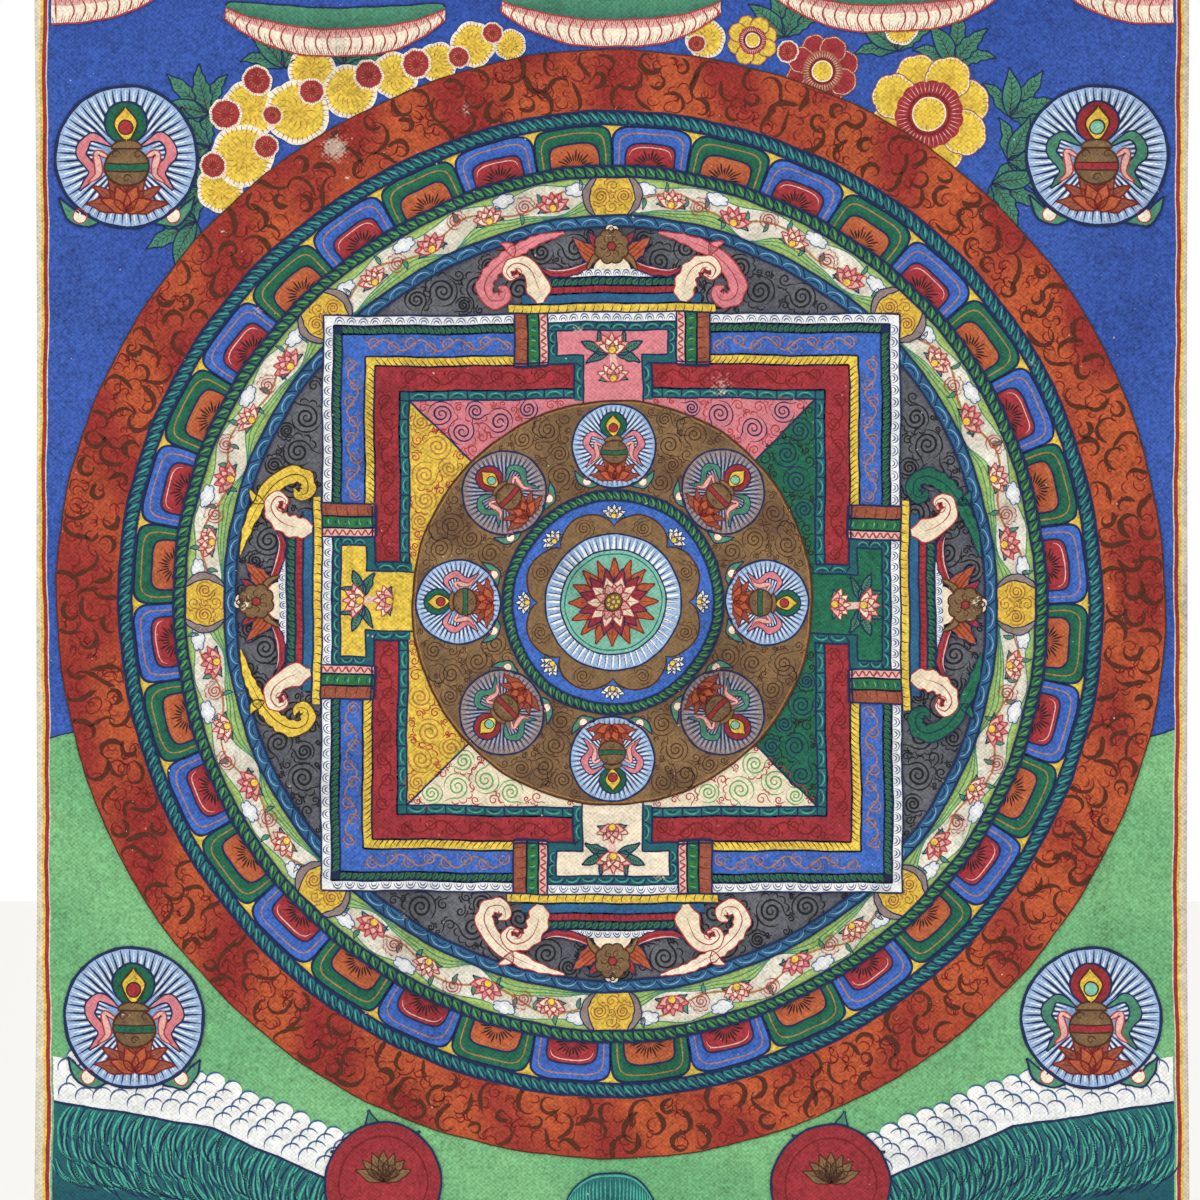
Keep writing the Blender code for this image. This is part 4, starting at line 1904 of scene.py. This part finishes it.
@dataclass
class PalaceWalls(Part):
    """The palace's six walls, one inside the other, from the white parapet to the teal cord."""

    name: str = "palace_walls"
    base: int = 23

    def paint(self, film: PaintFilm) -> None:
        """Each wall is a border on eight half sides, mitred at the corners.

        Args:
            film: what is painted on.
        """
        slate = Pigment.SLATE_LINE
        walls = (
            # the border, and where it starts beside the gate
            (Border(2.4, 5.0, Lay.CELLS, Pigment.TEAL, INK, Pigment.PALE_TEAL_LINE, 0.0), PLAN.door),
            (Border(6.5, 5.6, Lay.SCROLL, Pigment.CINNABAR, Pigment.LAC, Pigment.LAC,
                    stroke=0.38), PLAN.jamb),
            (Border(2.5, 1.5, Lay.TWIST, Pigment.ORPIMENT, Pigment.UMBER), PLAN.gate),
            (Border(6.0, 4.6, Lay.SCROLL, Pigment.AZURITE, Pigment.OCHRE_LINE, Pigment.OCHRE_LINE,
                    stroke=0.32), PLAN.gate),
            (Border(2.2, 1.5, Lay.LEAVES, INK, Pigment.ROPE_MALACHITE, Pigment.ROPE_MALACHITE), PLAN.gate),
            (Border(2.6, 3.1, Lay.DENTIL, Pigment.WHITE, slate, slate), PLAN.gate),
        )
        inner = PLAN.court
        for border, start in walls:
            border.paint(film, wall_track(start, inner), inner - start, mitre=True)
            inner += border.depth


@dataclass
class Court(Part):
    """The court's four coloured quarters, each with scrolls in two colours."""

    name: str = "court"
    base: int = 23

    def paint(self, film: PaintFilm) -> None:
        """Each quarter runs from the gold disc's circle out to its wall, between the diagonals.

        Args:
            film: what is painted on.
        """
        angle = np.linspace(-math.pi / 4, math.pi / 4, 49)
        near = polar(PLAN.disc - 0.8, angle + math.pi / 2)
        far = polar(PLAN.court / np.cos(angle), angle + math.pi / 2)
        lines = (
            (CRIMSON, INK), (CRIMSON, Pigment.OCHRE_LINE),
            (CRIMSON, Pigment.PALE_GREEN_LINE), (Pigment.LAMP_BLACK, INK),
        )
        for side, (ground, (line, echo)) in enumerate(zip(SIDE_PAINTS, lines)):
            turn = side * math.pi / 2
            film.put(turned(between(near, far, 9), turn), ground, 0, 0.4)
            places, sizes = packed(PLAN.court, self.room, 0.8, 3.6, 31 + side, 9000)
            scroll_work(film, turned(places, turn), sizes, 35 + side, line, 0.44, 1, echo)
        diagonal = np.linspace(PLAN.disc * 0.71, PLAN.court, 14)
        film.line(spun(pair(diagonal, diagonal), 4), 0.45, INK, 3)

    def room(self, places: Array) -> Array:
        """The free radius in the top quarter, outside the disc and away from the diagonals.

        Args:
            places: where it is read.

        Returns:
            The radius at each place.
        """
        x, z = places[:, 0], places[:, 1]
        sides = (z - np.abs(x)) / math.sqrt(2)
        return np.minimum.reduce([sides + 0.6, PLAN.court - z, np.hypot(x, z) - PLAN.disc])


@dataclass
class Gates(Part):
    """The four gates: a T-shaped doorway in posts, tiered beams, and a crest of gold and leaves."""

    name: str = "gates"
    base: int = 29
    # Halves of the T's arms, inside and outside its frame, then heights from the palace's middle
    arm: float = 14.6
    wide: float = 16.8
    red_top: float = 61.7
    sill: float = 63.9
    head: float = 70.4
    top: float = 72.6
    lintel: float = 75.2

    def paint(self, film: PaintFilm) -> None:
        """The doorway, its posts, the tiers above them and the crest, from the inside out.

        Args:
            film: what is painted on.
        """
        self.doorway(film)
        self.posts(film)
        self.tiers(film)
        self.crest(film)

    def doorway(self, film: PaintFilm) -> None:
        """A T of the side's own colour in a teal frame, with a plant in each.

        Args:
            film: what is painted on.
        """
        foot = PLAN.court - 3.0
        for turn, ground in zip(QUARTERS, SIDE_PAINTS):
            for grid in (block(-7.8, 7.8, foot, 64.2), block(-14.8, 14.8, 63.8, 70.6)):
                film.put(turned(grid, turn), ground, 0, 0.2)
        door, jamb, arm, wide = PLAN.door, PLAN.jamb, self.arm, self.wide
        knee, sill, head, top = self.red_top, self.sill, self.head, self.top
        for left, right, low, high in (
            (door, jamb, foot + 2.4, knee), (door, wide, knee, sill), (arm, wide, sill, head),
            (0.0, wide, head, top),
        ):
            film.put(spun(mirrored(block(left, right, low, high)), 4), Pigment.TEAL, 1, 0.5)
        for width, outline in (
            (0.42, [(door, foot), (door, sill), (arm, sill), (arm, head), (0.0, head)]),
            (0.5, [(jamb, PLAN.court), (jamb, knee), (wide, knee), (wide, top), (0.0, top)]),
        ):
            film.line(spun(mirrored(self.corners(np.array(outline))), 4), width, INK, 3)
        cells = Border(2.2, 4.2, Lay.CELLS, Pigment.TEAL, INK, Pigment.PALE_TEAL_LINE, edge=0.2)
        cells.fill(film, wall_track(-wide, head, twin=False), 2 * wide, 2)
        cells.fill(film, post_track(arm, sill), 6.5, 2)
        cells.fill(film, post_track(door, foot + 2.4), 9.0, 2)
        plant = Motif()
        plant.line(np.array([[0.0, -13.0], [0.3, -9.0], [0.0, -5.0]]), 1.6, Pigment.SHELL_PINK, 0)
        for side in (-1.0, 1.0):
            leaves = spray(3, 7.6, 74.0)
            leaves.stamp(plant, np.array([[side * 1.2, -5.6]]), -side * 1.15, 1.0, 1)
        cream, pink = Pigment.CREAM, Pigment.SHELL_PINK
        for fill, tip, height, size in ((cream, pink, -5.2, 0.95), (pink, cream, -12.6, 0.85)):
            lotus(fill, tip, CRIMSON).stamp(plant, np.array([[0.0, height]]), 0.0, size, 4)
        plant.stamp(film, turned(np.array([[0.0, 70.0]]), QUARTERS[:, None])[:, 0], QUARTERS, 1.0, 3)

    def corners(self, points: Array) -> Array:
        """The straight runs between a few corners as one path, with places close to each corner.

        Args:
            points: the corners.

        Returns:
            The path's places.
        """
        share = np.concatenate([[0.0, 0.03], np.linspace(0.2, 0.8, 4), [0.97]])[:, None]
        runs = [first + (second - first) * share for first, second in zip(points, points[1:])]
        return np.concatenate([*runs, points[-1:]])

    def posts(self, film: PaintFilm) -> None:
        """Brick, green and pink posts stand on the red wall at both sides of the doorway.

        Args:
            film: what is painted on.
        """
        high = self.lintel - self.red_top
        posts = (
            (Border(3.4, 2.6, Lay.TWIST, Pigment.BRICK, Pigment.LAC, lean=0.1), 22.1),
            (Border(3.0, 2.6, Lay.BEADS, Pigment.ROPE_MALACHITE, Pigment.MALACHITE, Pigment.PALE_GREEN_LINE,
                    lean=0.2), 19.1),
            (Border(2.3, 2.0, Lay.ZIGZAG, Pigment.SHELL_PINK, CRIMSON), self.wide),
        )
        for border, across in posts:
            border.paint(film, post_track(across, self.red_top), high, 3)
        slate = Pigment.SLATE_LINE
        parapet = Border(2.6, 2.9, Lay.DENTIL, Pigment.WHITE, slate, slate, edge=0.4)
        parapet.paint(film, wall_track(-self.wide, self.top, twin=False), 2 * self.wide, 3)
        cap = Border(1.0, 9.0, Lay.PLAIN, INK)
        cap.paint(film, wall_track(self.wide, self.red_top - 0.5), 8.7, 3)

    def tiers(self, film: PaintFilm) -> None:
        """Beams that step in towards the top, each a border centred on the gate.

        Args:
            film: what is painted on.
        """
        steel, white = Pigment.STEEL_AZURITE, Pigment.WHITE
        tiers = (
            # the beam and half its length
            (Border(2.3, 2.3, Lay.TWIST, Pigment.ORPIMENT, Pigment.UMBER, lean=0.15), 27.0),
            (Border(2.6, 9.0, Lay.PLAIN, steel), 23.4),
            (Border(2.0, 1.5, Lay.TWIST, Pigment.CINNABAR, Pigment.LAC, lean=0.0), 19.2),
            (Border(2.2, 1.8, Lay.LEAVES, INK, Pigment.ROPE_MALACHITE, Pigment.MALACHITE), 17.6),
            (Border(2.3, 2.4, Lay.DENTIL, white, Pigment.SLATE_LINE, Pigment.SLATE_LINE), 14.6),
        )
        low = self.lintel
        for border, half in tiers:
            border.paint(film, wall_track(-half, low, twin=False), 2 * half, 5)
            low += border.depth

    def crest(self, film: PaintFilm) -> None:
        """Gold rosette, banners of leaves, cream volutes and scrolls in each side's own colour.

        Args:
            film: what is painted on.
        """
        crest = Motif()
        arch = smooth([(12.5, 9.7), (19.0, 8.1), (25.5, 5.0), (30.5, 1.0), (33.2, -3.6), (32.0, -7.2),
                       (28.6, -7.6), (27.8, -5.2), (29.6, -4.2)], 44)
        volutes = smooth([(18.6, -8.4), (19.4, -3.6), (21.6, 0.4), (25.0, 1.9), (27.4, 0.2), (26.4, -1.9),
                          (24.4, -1.2)], 36)
        tuft = smooth([(25.8, 3.6), (27.0, 6.2), (29.4, 7.4)], 14)
        banner = smooth([(1.6, 2.2), (6.0, 4.6), (10.5, 8.6)], 16)
        slip = smooth([(1.2, 4.2), (4.0, 7.0), (6.2, 10.0)], 16)
        trail = smooth([(4.0, 2.4), (9.0, 0.2), (15.0, -0.8), (19.4, 0.6)], 20)
        for side in SIDES:
            crest.blade(trail * side, 2.3, Pigment.CINNABAR, 0, edge=INK, vein=Pigment.LAC)
            crest.line(trail[3:-3] * side + (0.0, 0.7), 0.28, Pigment.SHELL_PINK, 2, Taper.POINTED)
            crest.blade(banner * side, 4.6, Pigment.RED_LEAD, 2, shade=(0.8, 0.0), edge=INK,
                        vein=Pigment.LAC)
            for shift in (-0.9, 0.9):
                crest.line((banner[2:-2] + (shift * 0.5, -shift)) * side, 0.26, Pigment.LAC, 4, Taper.POINTED)
            crest.blade(slip * side, 2.1, Pigment.CINNABAR, 4, edge=INK, vein=Pigment.LAC)
            crest.blade(volutes * side, 6.2, Pigment.CREAM, 4, Taper.TAIL, (0.6, 0.0), CRIMSON)
            crest.line(volutes[4:] * side, 0.3, CRIMSON, 6, Taper.POINTED)
            whorl = stamped(volute(1.5), np.array([[24.9, -1.0]]), 1.2, 1.7)[0]
            crest.line(whorl * side, 0.3, CRIMSON, 6, Taper.TAIL)
        legs = smooth([(-6.6, -0.2), (-4.8, 3.0), (-1.6, 4.6), (0.0, 4.8), (1.6, 4.6), (4.8, 3.0),
                       (6.6, -0.2)], 40)
        crest.shape(rounded(4.8, 3.4, 2.0, 25), Pigment.CREAM, 5, (0.0, 0.4), rings=2)
        crest.blade(legs, 1.9, Pigment.OLIVE_GOLD, 6, Taper.BEAD, edge=BARK)
        crest.shape(lobed(4.7, 8, 0.14, 80) + (0.0, 5.9), Pigment.OLIVE_GOLD, 8, (0.0, 0.6), 3, BARK)
        crest.line(spun(volute(1.2) + (2.0, 0.0), 6) + (0.0, 5.9), 0.26, BARK, 10, Taper.TAIL)
        crest.shape(ring(1.1, 18) + (0.0, 5.9), Pigment.CINNABAR, 10, rings=1, edge=BARK)
        crest.blade(np.array([[0.0, 9.4], [0.0, 9.8], [0.0, 10.2], [0.0, 10.8], [0.0, 11.2]]), 1.6,
                    Pigment.CREAM, 8, edge=BARK)
        crest.shape(lobed(2.1, 5, 0.2, 40) + (0.0, 9.6), Pigment.CREAM, 8, (0.0, 0.5), 2)
        places = turned(np.array([[0.0, 86.3]]), QUARTERS[:, None])
        crest.stamp(film, places[:, 0], QUARTERS, 1.0, 10)
        inks = (CRIMSON, Pigment.UMBER, CRIMSON, INK)
        for place, turn, ground, ink in zip(places, QUARTERS, SIDE_PAINTS, inks):
            scroll = Motif()
            for side in SIDES:
                scroll.blade(arch * side, 4.3, ground, 1, Taper.POINTED, (0.0, 0.5), ink)
                scroll.blade(tuft * side, 2.2, ground, 1, edge=ink)
                scroll.line(arch[6:-4] * side, 0.26, ink, 3, Taper.POINTED)
            scroll.stamp(film, place, turn, 1.0, 10)


@dataclass
class GoldDisc(Part):
    """The olive-gold disc: eight great petals, a rayed blue medallion in each, and brown scrolls."""

    name: str = "gold_disc"
    base: int = 34
    medallions: int = 8
    orbit: float = 40.2
    reach: float = 10.9

    def paint(self, film: PaintFilm) -> None:
        """The ground, its scrolls and petal lines, then the medallions and their vases.

        Args:
            film: what is painted on.
        """
        rows = np.linspace(PLAN.centre - 1.0, PLAN.disc, 10)[:, None]
        band = polar(rows, np.arange(150) * TAU / 150)
        film.put(band, Pigment.OLIVE_GOLD, 0, waver(band, 18.0, 12), closed=True)
        places, sizes = packed(PLAN.disc, self.room, 0.7, 3.2, 41, 7000)
        scroll_work(film, places, sizes, 42, BARK, 0.34, 1)
        film.line(ring(PLAN.disc, 150), 0.45, BARK, 2, closed=True)
        film.line(ring(PLAN.disc - 0.6, 150), 0.22, Pigment.OCHRE_LINE, 2, closed=True)
        tips = polar(np.array([51.2]), self.angles() + math.pi / self.medallions)
        clouds = lobed(2.6, 5, 0.2, 50)
        film.line(stamped(clouds, tips * 0.955, self.angles(), 1.0), 0.36, Pigment.LAMP_BLACK, 2, Taper.TAIL)
        spots = polar(self.orbit, self.angles())
        turns = self.angles() - math.pi / 2
        grounds = ((Pigment.PALE_AZURITE, Pigment.WHITE), (Pigment.MAUVE, Pigment.PALE_AZURITE))
        for number, (ground, ray) in enumerate(grounds):
            halo(ground, ray, self.reach).stamp(film, spots[number::2], turns[number::2], 1.0, 3)
            vase(number).stamp(film, spots[number::2], turns[number::2], 1.0, 7)

    def angles(self) -> Array:
        """The medallions' angles; one stands straight above the middle."""
        return np.arange(self.medallions) * TAU / self.medallions + math.pi / 2

    def room(self, places: Array) -> Array:
        """The free radius between the disc's edge, the centre and the medallions.

        Args:
            places: where it is read.

        Returns:
            The radius at each place.
        """
        radius = np.linalg.norm(places, axis=-1)
        spots = polar(self.orbit, self.angles())
        away = np.linalg.norm(places[:, None] - spots, axis=-1).min(1) - self.reach - 0.4
        return np.minimum.reduce([PLAN.disc - 0.8 - radius, radius - PLAN.centre - 0.4, away])


@dataclass
class CentreFlower(Part):
    """The round picture at the middle: a many-petalled lotus in a rayed halo, in a green cord."""

    name: str = "centre_flower"
    base: int = 38

    def paint(self, film: PaintFilm) -> None:
        """Rings of colour from the green cord in, then petals from the outermost row in.

        Args:
            film: what is painted on.
        """
        reach, cord = PLAN.centre, 2.6
        film.shape(ring(reach, 120), Pigment.AZURITE, 0, (0.5, 0.0), rings=9)
        border = Border(cord, 1.9, Lay.LEAVES, INK, Pigment.ROPE_MALACHITE,
                        Pigment.PALE_GREEN_LINE, edge=0.5)
        middle = reach - cord / 2
        border.paint(film, round_track(reach - cord, middle), TAU * middle, 6, closed=True)
        self.clouds(film)
        film.shape(ring(17.6, 90), Pigment.PALE_AZURITE, 3, (0.8, 0.1), 5, INK, 0.45)
        film.blade(petals(56, 6.6, 0.0, root=10.6), 0.7, Pigment.WHITE, 4, Taper.POINTED)
        film.line(petals(56, 6.4, 0.0, 356.7, 3.2, root=10.8), 0.26, INK, 4, Taper.POINTED)
        film.shape(ring(13.6, 72), Pigment.SEA_GREEN, 5, (0.8, 0.0), 4, INK, 0.4)
        film.line(ring(12.5, 70), 0.3, Pigment.TEAL, 6, closed=True)
        rows = (
            # petals, length, width, paint, edge, level
            (16, 11.6, 3.9, Pigment.RED_LEAD, Pigment.LAC, 7),
            (12, 9.0, 3.7, Pigment.CINNABAR, INK, 9),
            (10, 6.9, 3.3, Pigment.CREAM, CRIMSON, 11),
            (8, 4.9, 2.7, Pigment.SHELL_PINK, CRIMSON, 13),
        )
        for order, (count, length, width, fill, edge, level) in enumerate(rows):
            spines = petals(count, length, 0.0, start=180.0 / count * (order % 2))
            film.blade(spines, width, fill, level, Taper.LEAF, (0.9, 0.0), edge, 0.32, edge)
        film.shape(ring(2.3, 32), Pigment.OLIVE_GOLD, 15, (0.0, 0.5), 2, BARK)
        seeds = np.concatenate([ring(1.35, 7), [[0.0, 0.0]]])
        film.shape(stamped(ring(0.42, 10), seeds), Pigment.ORPIMENT, 17, rings=1)

    def clouds(self, film: PaintFilm) -> None:
        """A scalloped gold aureole with a scroll in each lobe, and lotuses in the blue between them.

        Args:
            film: what is painted on.
        """
        film.shape(lobed(23.6, 8, 0.17, 160), Pigment.OLIVE_GOLD, 1, (0.0, 0.3), 6, BARK, 0.4)
        notches = np.arange(8) * TAU / 8
        lobes = notches + TAU / 16
        scroll_work(film, polar(20.4, lobes), np.full(8, 2.3), 51, BARK, 0.26, 2)
        seat = lotus(Pigment.CREAM, Pigment.WHITE, INK)
        seat.stamp(film, polar(21.8, notches), notches - math.pi / 2, 0.66, 1)


@dataclass
class Studio:
    """Camera, floor and soft light, set by where the photograph was taken from, in metres."""

    frame_width: float = 0.312
    distance: float = 1.10
    # The circle's middle lies 12 pixels right of the photograph's middle and 3 below it, at 0.26 mm
    aside: float = -0.0031
    above: float = 0.0008
    floor_drop: float = 0.30
    floor_half: float = 6.0
    lamp_place: tuple[float, float, float] = (-1.5, -1.25, 0.75)
    lamp_aim: float = -0.2
    lamp_size: float = 0.9
    lamp_power: float = 9.0

    def stand(self, name: str, data: bpy.types.ID, place: tuple = (0.0, 0.0, 0.0)) -> bpy.types.Object:
        """Links an object that holds a camera, a light or a mesh.

        Args:
            name: the object's name.
            data: what it holds.
            place: where it stands, in metres.

        Returns:
            The object.
        """
        item = bpy.data.objects.new(name, data)
        item.location = place
        bpy.context.scene.collection.objects.link(item)
        return item

    def build(self, cloth: Cloth) -> None:
        """Makes the camera level in front of the circle, a pale floor, one large lamp and the sky.

        Args:
            cloth: the hanging cloth.
        """
        scene = bpy.context.scene
        scene.view_settings.view_transform = "Standard"
        lens = bpy.data.cameras.new("camera")
        lens.sensor_width = 36.0
        lens.lens = lens.sensor_width * self.distance / self.frame_width
        camera = self.stand("camera", lens, (self.aside, -self.distance, -cloth.height / 2 + self.above))
        camera.rotation_euler = (math.pi / 2, 0.0, 0.0)
        scene.camera = camera
        half, height = self.floor_half, -cloth.height - self.floor_drop
        mesh = bpy.data.meshes.new("studio_floor")
        corners = [(-half, -half, height), (half, -half, height), (half, half, height), (-half, half, height)]
        mesh.from_pydata(corners, [], [(0, 1, 2, 3)])
        plaster = bpy.data.materials.new("floor_plaster")
        plaster.use_nodes = True
        shader = plaster.node_tree.nodes["Principled BSDF"]
        shader.inputs["Base Color"].default_value = linear("f6f5f2")
        shader.inputs["Roughness"].default_value = 0.9
        mesh.materials.append(plaster)
        floor = self.stand("studio_floor", mesh)
        light = bpy.data.lights.new("key_light", "AREA")
        light.size, light.energy = self.lamp_size, self.lamp_power
        lamp = self.stand("key_light", light, self.lamp_place)
        away = np.array(self.lamp_place) - (0.0, 0.0, self.lamp_aim)
        lamp.rotation_euler = (math.acos(away[2] / np.linalg.norm(away)), 0.0, math.atan2(away[0], -away[1]))
        world = bpy.data.worlds.new("pale_room")
        world.use_nodes = True
        backdrop = world.node_tree.nodes["Background"]
        backdrop.inputs["Color"].default_value = (1.0, 1.0, 1.0, 1.0)
        backdrop.inputs["Strength"].default_value = 1.0
        scene.world = world


def main() -> None:
    logging.basicConfig(level=logging.INFO, format="%(message)s")
    low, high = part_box("painted_canvas")
    cloth = Cloth(width=round(high[0] - low[0], 6), height=round(high[2] - low[2], 6))
    Studio().build(cloth)
    canvas = Canvas(cloth).build()
    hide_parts("painted_canvas")
    parts = (
        SkyAndFields, CloudSwags, CornerFlowers, CornerMedallions, LowerBanks, FlameRing, CordRings,
        LotusRing, VineRing, ScrollField, PalaceWalls, Court, Gates, GoldDisc, CentreFlower,
    )
    films = []
    for part in parts:
        films.append(part(cloth).build())
        logging.info("%s: %d faces", films[-1].name, len(films[-1].data.polygons))


if __name__ == "__main__":
    main()
